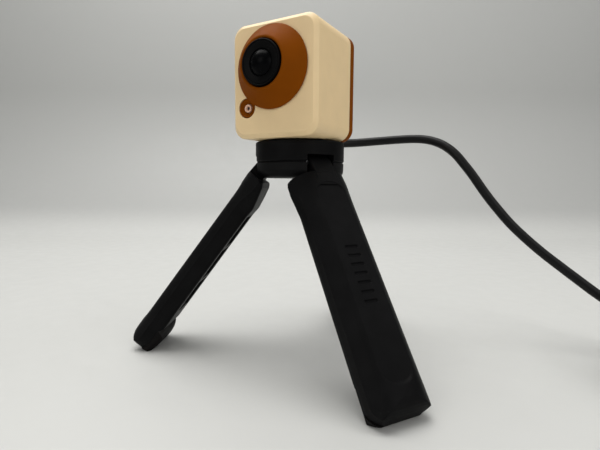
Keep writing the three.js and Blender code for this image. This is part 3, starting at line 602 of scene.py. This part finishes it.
def plug_tongue():
    middle = PLUG_THICKNESS / 2
    back = -28.6
    tongue = block("plug_tongue_core", (-5.3, back - 10, middle - 1.6), (5.3, back, middle + 0.2))
    softened(tongue, 0.15, 2)
    contacts = []
    for x in (-3.5, -1, 1, 3.5):
        low, high = (x - 0.5, back - 9.6, middle + 0.15), (x + 0.5, back - 2, middle + 0.32)
        contacts.append(softened(block("contact", low, high), 0.04, 1))
    together(tongue, *contacts)
    return placed(tongue, plug_place(), "camera", IVORY, "connector_plastic", "plug_tongue")


def cable_tie():
    """A soft hook-and-loop strap closed round the bundle of turns."""
    outer_radius = COIL_INNER + COIL_TURNS * 2 * CABLE_RADIUS + CABLE_RADIUS + 0.3
    inner_radius = COIL_INNER - CABLE_RADIUS - 0.6
    low, high = 0.6, COIL_TOP + CABLE_RADIUS + 0.3
    thickness = 0.6
    width, height = outer_radius - inner_radius, high - low
    outside = rounded_rectangle(width + 2 * thickness, height + 2 * thickness, 1.6, 0, 6)
    inside = rounded_rectangle(width, height, 1, 0, 6)
    band = prism("cable_strap", outside, "y", -3, 3)
    boolean(band, [prism("inside", inside, "y", -4, 4)])
    softened(band, 0.2, 2)
    turn = Matrix.Rotation(math.radians(-60), 4, "Z")
    reach = Matrix.Translation(((outer_radius + inner_radius) / 2, 0, (low + high) / 2))
    place = LEAD @ Matrix.Translation((*COIL_MIDDLE, 0)) @ turn @ reach
    return placed(band, place, "camera", RUBBER, "rubber", "cable_tie")


relief = strain_relief()
strap = cable_tie()
plug = [plug_housing(), plug_shell(), plug_tongue()]
cable.data.materials.append(JACKET)
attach(cable, "camera")
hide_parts("cable", "cable_coil", "cable_tail")

# ---------- tripod head ----------

HEAD_RADIUS = 19.7
HEAD_TOP = 94
HEAD_BOTTOM = 78.4
PARTING = 85  # the height of the hinge pins and of the line between the two discs
HINGE_RADIUS = 14.5
SLOT_HALF_WIDTH = 6.2
SLOT_CEILING = 88
LEG_ANGLES = [math.radians(-32.1 - 120 * i) for i in range(3)]
PAD_RADIUS = 16


def turned_block(name, low, high, angle):
    piece = block(name, low, high)
    piece.data.transform(Matrix.Rotation(angle, 4, "Z"))
    return piece


def leg_slots(low, high):
    return [turned_block("slot", (10.6, -SLOT_HALF_WIDTH, low), (24, SLOT_HALF_WIDTH, high), angle)
            for angle in LEG_ANGLES]


def pin_seats():
    seats = []
    for angle in LEG_ANGLES:
        seat = rod("seat", 1.5, -9.5, 9.5, (HINGE_RADIUS, PARTING), 32, "y")
        seat.data.transform(Matrix.Rotation(angle, 4, "Z"))
        seats.append(seat)
    return seats


def head_top():
    well = PAD_RADIUS + 0.3
    section = rounded([(0.01, PARTING + 0.15), (HEAD_RADIUS, PARTING + 0.15), (HEAD_RADIUS, HEAD_TOP),
                       (well, HEAD_TOP), (well, 93.1), (0.01, 93.1)], 0.9, 5)
    disc = lathe("head_disc", section, sides=160)
    stud_hole = rod("hole", 3.4, PARTING - 2, HEAD_TOP + 1, sides=48)
    boolean(disc, [*leg_slots(PARTING - 2, SLOT_CEILING), stud_hole, *pin_seats()])
    softened(disc, 0.22, 2)
    return placed(disc, HEAD, "head", BLACK, "tripod_plastic", "head_top")


def screw_places():
    ring = 13.4
    return [(ring * math.cos(a + math.pi / 3), ring * math.sin(a + math.pi / 3)) for a in LEG_ANGLES]


def head_base():
    edge = 3.2
    bottom = [(HEAD_RADIUS - edge - 0.2 + edge * math.sin(a), HEAD_BOTTOM + edge - edge * math.cos(a))
              for a in (math.pi / 2 * i / 10 for i in range(11))]
    section = [(0.01, HEAD_BOTTOM), *bottom, (HEAD_RADIUS - 0.1, PARTING - 0.5),
               (HEAD_RADIUS - 0.35, PARTING - 0.15), (HEAD_RADIUS - 1, PARTING - 0.15),
               (HEAD_RADIUS - 1, PARTING + 0.14), (0.01, PARTING + 0.14)]
    disc = lathe("head_lower_disc", section, sides=160)
    holes = []
    for place in screw_places():
        holes.append(rod("hole", 1.8, HEAD_BOTTOM - 2, PARTING + 1, place, 32))
        holes.append(rod("sink", 3, HEAD_BOTTOM - 2, HEAD_BOTTOM + 2.2, place, 48))
    boolean(disc, [*leg_slots(HEAD_BOTTOM - 2, PARTING + 1), *pin_seats(), *holes])
    softened(disc, 0.22, 2)
    return placed(disc, HEAD, "head", BLACK, "tripod_plastic", "head_base")


def top_pad():
    """A rubber ring with shallow circular ribs."""
    section = [(4.1, 93.4), (PAD_RADIUS, 93.4), (PAD_RADIUS, 94)]
    for i in range(8):
        radius = PAD_RADIUS - 0.6 - i * 1.35
        section += [(radius, 94.08), (radius - 0.5, 94.08), (radius - 0.6, 93.85),
                    (radius - 1.2, 93.85)]
    section += [(4.1, 94.0)]
    ring = smoothed(lathe("pad_ring", section, sides=96), 30)
    return placed(ring, HEAD, "head", RUBBER, "rubber", "top_pad")


def head_screw(index):
    x, y = screw_places()[index]
    bottom = HEAD_BOTTOM + 0.2
    section = [(0, bottom), (2.35, bottom), (2.6, bottom + 0.3), (2.6, bottom + 1.7),
               (1.2, bottom + 1.7), (1.2, 91), (0, 91)]
    screw = lathe(f"head_bolt_{index + 1}", section, (x, y), 48)
    boolean(screw, [rod("drive", 1.15, bottom - 1, bottom + 0.9, (x, y), 6)])
    smoothed(screw, 30)
    return placed(screw, HEAD, "head", DARK_STEEL, "dark_steel", f"head_screw_{index + 1}")


def hinge_pin(index):
    section = [(0, -9.2), (1, -9.2), (1.2, -9), (1.2, 9), (1, 9.2), (0, 9.2)]
    pin = lathe(f"pin_{index + 1}", section, sides=40)
    out = Matrix.Translation((HINGE_RADIUS, 0, PARTING)) @ Matrix.Rotation(math.pi / 2, 4, "X")
    pin.data.transform(Matrix.Rotation(LEG_ANGLES[index], 4, "Z") @ out)
    smoothed(pin, 30)
    return placed(pin, HEAD, "head", STEEL, "steel", f"hinge_pin_{index + 1}")


head_top()
head_base()
top_pad()
for i in range(3):
    head_screw(i)
    hinge_pin(i)

# ---------- legs ----------

CROWN = [(0, 4.1), (3.5, 3.9), (7, 3.1), (9.6, 1.2), (11.7, -1.3), (14.8, -4.6)]
LEG_START = 7.4
LEG_END = 101.9
PANEL_START = 13
PANEL_END = 92.2
PANEL_LEVEL = 3.1
PANEL_HALF_WIDTH = 6.8
SOLE_INNER = -8.4  # the flat that stands on the table, from the hinge pin's level
SOLE_OUTER = -4.8
GROOVE_START = 41.5
GROOVE_STEP = 3.6
POCKET_STARTS = (25, 43.3, 61.6)
POCKET_LENGTH = 16.5


def along_line(points, value):
    """The second number of a row of points at a value of the first."""
    return float(np.interp(value, [p[0] for p in points], [p[1] for p in points]))


def step(value, low, high):
    """A smooth rise from 0 to 1 between two values."""
    share = min(1, max(0, (value - low) / (high - low)))
    return share * share * (3 - 2 * share)


def half_width(depth):
    """Half the leg's width down its length: wings at the top, a round corner at the end."""
    return along_line([(7.4, 12.5), (8.2, 13.7), (9.6, 13.9), (13, 13.6), (15.5, 13), (18, 12.3),
                       (20, 11.9), (22.5, 11.7), (96.1, 11.7), (97.3, 11.55), (98.4, 11.2),
                       (99.3, 10.75), (100.1, 10.1), (100.8, 9.3), (101.4, 8.4), (101.9, 7.2)], depth)


def outer_limit(depth):
    """The highest level of the leg's outside, which falls away round the end."""
    return along_line([(7.4, 3.3), (7.9, 3.8), (8.8, 4.3), (94, 4.15), (96, 3.95), (97.6, 3.45),
                       (98.8, 2.7), (99.7, 1.7), (100.4, 0.5), (100.9, -0.8), (101.4, -2.2),
                       (101.75, -3.2), (101.9, -3.8)], depth)


def inner_limit(depth):
    """The level of the leg's inner side, which steps up under the rubber foot."""
    return along_line([(7.4, -4.8), (9.5, -5.9), (14, -6.9), (20, -7.9), (24, -7.5), (87.6, -7.5),
                       (89.3, -6.1), (96.6, -6.1), (100, -4.9), (101.4, -4.5), (101.9, -4.2)], depth)


# The crown's profile with its corners averaged away, at every tenth of a millimetre.
SHIFTS = [0.25 * i for i in range(-6, 7)]
crown_table = [(w / 10, sum(along_line(CROWN, abs(w / 10 + shift)) for shift in SHIFTS) / len(SHIFTS))
               for w in range(149)]


def stadium_distance(across, depth, half, start, end, corner):
    """How far a point lies outside a rectangle with round corners."""
    middle = (start + end) / 2
    u = abs(across) - (half - corner)
    v = abs(depth - middle) - ((end - start) / 2 - corner)
    return math.hypot(max(u, 0), max(v, 0)) + min(max(u, v), 0) - corner


def outer_level(across, depth):
    """The outside of the leg: its crown, the flat panel let into it and the grip grooves."""
    level = min(along_line(crown_table, abs(across)), outer_limit(depth))
    outside = stadium_distance(across, depth, PANEL_HALF_WIDTH, PANEL_START, PANEL_END, 6)
    slope = 0.25 + 0.95 * step(depth, 84, 88)
    level += (min(level, PANEL_LEVEL) - level) * (1 - step(outside, -slope, 0.1))
    if abs(across) < 3.4 and 41 < depth < 67:
        for i in range(7):
            start = GROOVE_START + GROOVE_STEP * i
            groove = stadium_distance(across, depth, 2.8, start, start + 1.2, 0.6)
            level -= 0.55 * (1 - step(groove, -0.2, 0.12))
    return level


def inner_level(across, depth):
    """The inner side, with three shallow pockets between ribs."""
    level = inner_limit(depth)
    for start in POCKET_STARTS:
        outside = stadium_distance(across, depth, 6.6, start, start + POCKET_LENGTH, 1)
        level += 1.5 * (1 - step(outside, -0.5, 0.1))
    return level


def leg_mesh(name):
    """The leg's moulding, lofted from rings across it, close together where its shape changes."""
    depths = sorted({round(d, 3) for d in [
        *np.arange(LEG_START, 19, 0.16), *np.arange(19, 41, 0.8), *np.arange(41, 67, 0.2),
        *np.arange(67, 87, 0.8), *np.arange(87, LEG_END, 0.16), LEG_END]})
    rings = []
    top_count, inner_count = 112, 40
    for depth in depths:
        half = half_width(depth)
        inner = inner_limit(depth)
        while along_line(crown_table, half) < inner + 0.6 and half > 9:
            half -= 0.1
        ring = []
        for i in range(top_count + 1):
            across = half * (2 * i / top_count - 1)
            ring.append((outer_level(across, depth), across, -depth))
        edge = ring[-1][0]
        chamfer = min(1.2 - 0.95 * step(depth, 87.5, 89), (edge - inner) * 0.4)
        sides = [(edge - 0.25, half), ((edge + inner) / 2, half), (inner + chamfer, half),
                 (inner + chamfer * 0.45, half - chamfer * 0.3)]
        ring += [(level, across, -depth) for level, across in sides]
        for i in range(inner_count + 1):
            across = (half - chamfer) * (1 - 2 * i / inner_count)
            ring.append((inner_level(across, depth), across, -depth))
        ring += [(level, -across, -depth) for level, across in reversed(sides)]
        rings.append(ring)
    return loft(name, rings)


def leg_tab():
    """The tongue that swings in the head's slot, with its round knuckle."""
    radius = 2.9
    knuckle = [(radius * math.cos(a), radius * math.sin(a))
               for a in (math.radians(180 - 8 * i) for i in range(16))]
    outline = [*knuckle, (3.3, -1.7), (3.9, -9), (3.7, -14), (-3.6, -14), (-3.2, -6)]
    tab = prism("tab", outline, "y", -4.5, 5.2)
    boolean(tab, [rod("pin_hole", 1.5, -7, 7, (0, 0), 40, "y")])
    return softened(tab, 0.3, 3)


def table_depth(level):
    """How far down the leg a point of this level meets the table."""
    return (PARTING + level * math.sin(TILT)) / math.cos(TILT)


def foot_mesh(name):
    """The rubber pad against the inner side of the leg's end, with its flat sole."""
    profile = [(-6.16, -89.3), (-7.4, -89.9), (-8.4, -91), (-9, -92), (-9.4, -93.4), (-9.5, -94.8),
               (-9.3, -97), (SOLE_INNER, -table_depth(SOLE_INNER)),
               (SOLE_OUTER, -table_depth(SOLE_OUTER)), (-4.3, -102.05), (-4, -101.85),
               (-4.1, -101.5), (-4.7, -100), (-6.08, -96.6)]
    end = table_depth(SOLE_OUTER) + 0.5
    half = [(12.5, -85), (11.7, -end + 5.3), (11.55, -end + 4.2), (11.2, -end + 3.2),
            (10.7, -end + 2.4), (10, -end + 1.7), (9.2, -end + 1.1), (8.2, -end + 0.6), (7, -end)]
    plan = [*half, *[(-across, along) for across, along in reversed(half)]]
    side = [(-2, 11.7), (-6.2, 11.62), (-7.4, 10.9), (-8.4, 9.6), (-9.1, 8), (-9.5, 6)]
    section = [*side, *[(level, -across) for level, across in reversed(side)]]
    foot = prism(name, profile, "y", -11.7, 11.7)
    limits = [prism("plan", plan, "x", -12, 6), prism("section", section, "z", -104, -88)]
    boolean(foot, limits, "INTERSECT")
    return softened(foot, 0.25, 3, 25)


def add_legs():
    """Three copies of one leg and one foot, each in its own hinge's frame."""
    shell = together(smoothed(leg_mesh("leg_shape"), 40), leg_tab())
    pad = foot_mesh("foot_shape")
    for i in (1, 2, 3):
        pieces = []
        for shape, name in ((shell, "leg_shell"), (pad, "foot_pad")):
            piece = bpy.data.objects.new(f"{name}_{i}", shape.data.copy())
            bpy.context.scene.collection.objects.link(piece)
            pieces.append(piece)
        placed(pieces[0], leg_place(i), f"leg_{i}", BLACK, "tripod_plastic", f"leg_{i}")
        placed(pieces[1], leg_place(i), f"leg_{i}", RUBBER, "rubber", f"foot_{i}")
    bpy.data.objects.remove(shell)
    bpy.data.objects.remove(pad)


add_legs()

# ---------- camera body ----------

BODY_WIDTH = 40
BODY_HEIGHT = 45.6
BODY_MIDDLE = 117.2 - LENS_HEIGHT
CORNER = 5.4
SCREWS = [(15.4 * x, BODY_MIDDLE + 18.1 * y) for x, y in ((1, 1), (-1, 1), (-1, -1), (1, -1))]
POSTS = [(14.4, 12), (-14.4, 12), (-14.4, -8.5), (14.4, -8.5)]
MIC = (-12.57, 106.7 - LENS_HEIGHT)


def body_ring(inset, height, corner):
    width, height_inside = BODY_WIDTH - 2 * inset, BODY_HEIGHT - 2 * inset
    outline = rounded_rectangle(width, height_inside, corner, BODY_MIDDLE, 14)
    return [(x, y, height) for x, y in outline]


def front_shell():
    """An open box with one chamfered edge at the front, bosses and posts inside."""
    rings = [body_ring(0.15, -30.2, CORNER - 0.1), body_ring(0, -30.05, CORNER)]
    chamfer = [(0, -1.85), (0.03, -1.68), (0.12, -1.5), (1.5, -0.12), (1.68, -0.03), (1.9, 0)]
    for inset, height in chamfer:
        rings.append(body_ring(inset, height, CORNER - inset * 0.5))
    shell = loft("shell_box", rings)
    cavity = loft("cavity", [body_ring(2, -31, CORNER - 2), body_ring(2, -2, CORNER - 2)])
    under = BODY_FLOOR / MM - LENS_HEIGHT - 2
    boolean(shell, [cavity, rod("bore", 10, -5, 2, sides=96), rod("mic_hole", 4.05, -5, 2, MIC, 64),
                    rod("insert_hole", 4.7, under, -19.2, (-1.05, -23.65), 48, "y")])
    softened(shell, 0.2, 2, 60)
    inner = [rod("boss", 3, -30.1, -23.9, place, 32) for place in SCREWS]
    inner += [rod("post", 2.4, -19.9, -1.5, place, 32) for place in POSTS]
    together(shell, *[smoothed(piece, 30) for piece in inner])
    return placed(shell, CAMERA, "camera", CREAM, "shell_plastic", "front_shell")


def back_plate():
    """The brown plate that closes the box, with a round rear edge and a lip inside the shell."""
    edge = 1.2
    rings = [body_ring(0.12, PLATE_FRONT, CORNER - 0.1), body_ring(0, PLATE_FRONT - 0.12, CORNER)]
    for i in range(9):
        angle = math.pi / 2 * i / 8
        inset = edge * (1 - math.cos(angle))
        rings.append(body_ring(inset, PLATE_BACK + edge * (1 - math.sin(angle)), CORNER - inset * 0.5))
    plate = loft("rear_plate", rings)
    cuts = []
    for place in SCREWS:
        cuts.append(rod("hole", 1.5, PLATE_BACK - 2, PLATE_FRONT + 2, place, 32))
        cuts.append(rod("sink", 2.5, PLATE_BACK - 2, PLATE_BACK + 1.8, place, 48))
    cuts.append(rod("cable_hole", 2.8, PLATE_BACK - 2, PLATE_FRONT + 2, CABLE_LOCAL, 48))
    boolean(plate, cuts)
    softened(plate, 0.18, 2, 50)
    lip = loft("lip", [body_ring(2.35, PLATE_FRONT + z, CORNER - 2) for z in (-1, 2)])
    inside = loft("inside", [body_ring(3.6, PLATE_FRONT + z, CORNER - 2) for z in (-2, 3)])
    room = [rod("room", 3.4, PLATE_FRONT - 2, PLATE_FRONT + 4, place, 32) for place in SCREWS]
    room.append(rod("room", 3.4, PLATE_FRONT - 2, PLATE_FRONT + 4, CABLE_LOCAL, 32))
    room.append(block("room", (-7.7, -28, PLATE_FRONT - 2), (7.7, -21, 0)))
    boolean(lip, [inside, *room])
    together(plate, smoothed(lip, 30))
    return placed(plate, CAMERA, "camera", BROWN, "trim_plastic", "back_plate")


def small_screw(name, place, back, length):
    """A round-headed screw with a crossed drive."""
    socket = 0.7
    section = [(0, back), (1.75, back), (2.1, back + 0.3), (2.1, back + 1.2), (0.85, back + 1.2),
               (0.85, back + length), (0, back + length)]
    screw = lathe(name, section, place, 40)
    x, y = place
    cross = [block("drive", (x - 1.25, y - 0.24, back - 1), (x + 1.25, y + 0.24, back + socket)),
             block("drive", (x - 0.24, y - 1.25, back - 1), (x + 0.24, y + 1.25, back + socket))]
    boolean(screw, cross)
    return smoothed(screw, 30)


def screws():
    for i, place in enumerate(SCREWS):
        screw = small_screw(f"plate_bolt_{i + 1}", place, PLATE_BACK + 0.25, 9.3)
        placed(screw, CAMERA, "camera", DARK_STEEL, "dark_steel", f"plate_screw_{i + 1}")
    for i, place in enumerate(POSTS):
        screw = small_screw(f"board_bolt_{i + 1}", place, -23.3, 7.6)
        placed(screw, CAMERA, "camera", STEEL, "steel", f"board_screw_{i + 1}")


front_shell()
back_plate()
screws()

# ---------- lens ----------


def arc(radius, start, end, steps, middle=(0, 0)):
    angles = [math.radians(start + (end - start) * i / steps) for i in range(steps + 1)]
    return [(middle[0] + radius * math.cos(a), middle[1] + radius * math.sin(a)) for a in angles]


def lens_bezel():
    section = [(9, -2.6), (9.7, -2.6), (9.7, 0.3), (16.05, 0.3), (16.2, 0.45), (16.2, 0.85),
               (16.1, 1.15), (15.85, 1.42), (15.4, 1.85), (10.75, 6.75), (10.4, 7.15), (10.1, 7.42),
               (9.85, 7.58), (9.6, 7.65), (9.35, 7.62), (9.14, 7.5), (9.03, 7.28), (9, 7)]
    bezel = smoothed(lathe("lens_ring", section, sides=160), 50)
    return placed(bezel, CAMERA, "camera", BROWN, "trim_plastic", "lens_bezel")


def lens_barrel():
    """The barrel: a head that fills the bezel's bore, a stepped recess, and a thread behind."""
    thread = []
    pitch = 0.5
    for i in range(21):
        depth = -13.8 + i * pitch
        thread += [(5.62, depth), (5.9, depth + pitch / 2)]
    section = [(4.6, -14), (5.5, -14), *thread, (5.62, -3.1), (5.7, -3), (8.45, -3), (8.65, -2.8),
               (8.65, 8.05), (8.58, 8.28), (8.36, 8.4), (8.1, 8.37), (8, 8.25), (8, 6.8), (6.1, 6.8),
               (6.1, 4.2)]
    for i in range(8):
        depth = 4.2 - i * 1.1
        section += [(4.95, depth - 0.1), (4.6, depth - 0.5)]
    barrel = smoothed(lathe("barrel", section, sides=128), 30)
    return placed(barrel, CAMERA, "lens", LENS_BLACK, "lens_plastic", "lens_barrel")


def lens_retainer():
    """The ring that holds the front element, with a cone that falls to the glass."""
    section = [(5.1, 7.15), (7.85, 7.1), (7.9, 7.2), (7.9, 8.2), (7.84, 8.28), (7.7, 8.3), (7.4, 8.27),
               (5.3, 8.08), (5.17, 8.02), (5.1, 7.9)]
    ring = lathe("retaining_ring", section, sides=128)
    return placed(smoothed(ring, 30), CAMERA, "lens", LENS_BLACK, "lens_plastic", "lens_retainer")


def front_element():
    radius = 6.2
    edge = math.asin(4.9 / radius)
    dome = arc(radius, 90 - math.degrees(edge), 90, 20, (0, 7.9 - radius * math.cos(edge)))
    section = [(0, 4.5), (5.8, 4.5), (5.8, 7), (4.9, 7), *dome[:-1], (0, dome[-1][1])]
    glass_dome = smoothed(lathe("front_glass_dome", section, sides=128), 30)
    return placed(glass_dome, CAMERA, "lens", FRONT_GLASS, "lens_glass", "lens_front_element")


def rear_element():
    dome = arc(7, 52, 90, 10, (0, -15.4))
    section = [(0, -12), (4.3, -12), (4.3, -9.9), *dome[:-1], (0, dome[-1][1])]
    element = smoothed(lathe("rear_glass", section, sides=96), 30)
    return placed(element, CAMERA, "lens", INNER_GLASS, "lens_glass", "lens_rear_element")


def mic_port():
    """A brown cup round a pale ring, with the microphone's capsule behind them."""
    section = [(2, -2), (3.6, -2), (3.75, -1.8), (3.75, -0.2), (3.66, -0.08), (3.5, -0.05),
               (3.38, -0.1), (2.75, -1), (2.62, -1.1), (2, -1.1)]
    cup = lathe("port_cup", section, MIC, 96)
    placed(smoothed(cup, 40), CAMERA, "camera", BROWN, "trim_plastic", "mic_cup")
    section = [(0.8, -1.7), (1.7, -1.7), (1.7, -0.85), (1.62, -0.66), (1.42, -0.55), (1.15, -0.56),
               (0.92, -0.7), (0.8, -0.95)]
    ring = lathe("port_ring", section, MIC, 64)
    placed(smoothed(ring, 50), CAMERA, "camera", PINK, "mic_plastic", "mic_ring")
    section = [(0, -4.9), (2.85, -4.9), (3, -4.75), (3, -2.45), (2.85, -2.3), (0.6, -2.3),
               (0.6, -2.7), (0, -2.7)]
    capsule = lathe("capsule", section, MIC, 64)
    placed(smoothed(capsule, 30), CAMERA, "camera", STEEL, "steel", "microphone")


lens_bezel()
lens_barrel()
lens_retainer()
front_element()
rear_element()
mic_port()

# ---------- CAD nodes that keep their shape ----------

KEPT = {
    "stud": STEEL,
    "threaded_insert": BRASS,
    "lens_holder": LENS_BLACK,
    "infrared_filter": INNER_GLASS,
    "image_sensor": INNER_GLASS,
    "circuit_board": BOARD,
    "board_connector": IVORY,
    "inner_lead": JACKET,
}
for name, material in KEPT.items():
    node = frame["nodes"][name]
    node.data.materials.clear()
    node.data.materials.append(material)

# ---------- floor, backdrop and light ----------


def sweep():
    """A pale table top that curves up into a backdrop behind the object; the backdrop is painted darker
    as it rises, as painted shade.
    """
    level = Vector((-math.sin(VIEW_YAW), math.cos(VIEW_YAW), 0))
    right = Vector((math.cos(VIEW_YAW), math.sin(VIEW_YAW), 0))
    start, bend, wide, top = 0.36, 0.25, 6.0, 2.5
    profile = [(-wide, 0), (0, 0), (start, 0)]
    for i in range(1, 25):
        angle = math.pi / 2 * i / 24
        profile.append((start + bend * math.sin(angle), bend * (1 - math.cos(angle))))
    profile.append((start + bend, top))
    rings = [[tuple(level * d + right * side + Vector((0, 0, z))) for d, z in profile]
             for side in (-wide, wide)]
    count = len(profile)
    points = rings[0] + rings[1]
    faces = [(i, i + 1, count + i + 1, count + i) for i in range(count - 1)]
    floor = mesh_piece("table_top", points, faces)
    floor.data.shade_smooth()
    nodes = Nodes("table_paper")
    cloud = nodes.noise(3, 2)
    paper = nodes.mixed(nodes.spread(cloud, 0, 1), (0.555, 0.56, 0.545), (0.57, 0.575, 0.56))
    place = nodes.add("ShaderNodeNewGeometry")
    height = nodes.add("ShaderNodeSeparateXYZ")
    nodes.join(place.outputs["Position"], height.inputs["Vector"])
    # Painted shade: the paper's colour turns to a darker grey from the table's level up the backdrop,
    # standing in for the weaker light that falls there.
    backdrop_painted_shade = nodes.add("ShaderNodeMapRange", interpolation_type="SMOOTHSTEP")
    backdrop_painted_shade.inputs["From Min"].default_value = -0.004
    backdrop_painted_shade.inputs["From Max"].default_value = 0.04
    nodes.join(height.outputs["Z"], backdrop_painted_shade.inputs["Value"])
    paint = nodes.mixed(backdrop_painted_shade.outputs["Result"], paper, (0.412, 0.417, 0.408))
    nodes.join(paint, nodes.shader.inputs["Base Color"])
    nodes.join(nodes.spread(nodes.noise(90), 0.45, 0.6), nodes.shader.inputs["Roughness"])
    floor.data.materials.append(nodes.material)


def area_light(name, place, target, size, power, color=(1, 1, 1)):
    data = bpy.data.lights.new(name, "AREA")
    data.shape = "RECTANGLE"
    data.size, data.size_y = size
    data.energy = power
    data.color = color
    light = bpy.data.objects.new(name, data)
    turn = (Vector(target) - Vector(place)).to_track_quat("-Z", "Y")
    light.matrix_world = Matrix.Translation(place) @ turn.to_matrix().to_4x4()
    bpy.context.scene.collection.objects.link(light)


def surroundings():
    world = bpy.data.worlds.new("studio")
    world.use_nodes = True
    world.node_tree.nodes["Background"].inputs["Color"].default_value = (0.8, 0.8, 0.79, 1)
    world.node_tree.nodes["Background"].inputs["Strength"].default_value = 0.24
    bpy.context.scene.world = world
    area_light("top_softbox", (-0.2, 0.05, 1.0), (0, 0, 0.05), (0.9, 0.9), 12, (1, 0.99, 0.97))
    area_light("side_fill", (1.05, -0.45, 0.42), (0, 0, 0.1), (0.7, 0.7), 3.1, (1, 0.985, 0.96))
    area_light("rear_sheen", (0.78, 0.28, 0.87), (0, 0, 0.05), (0.7, 0.7), 2, (1, 0.99, 0.98))
    area_light("front_fill", (-0.15, -1.1, 0.5), (0, 0, 0.1), (0.6, 0.6), 2.2, (1, 0.985, 0.96))


sweep()
surroundings()
bpy.context.scene.view_settings.view_transform = "Standard"
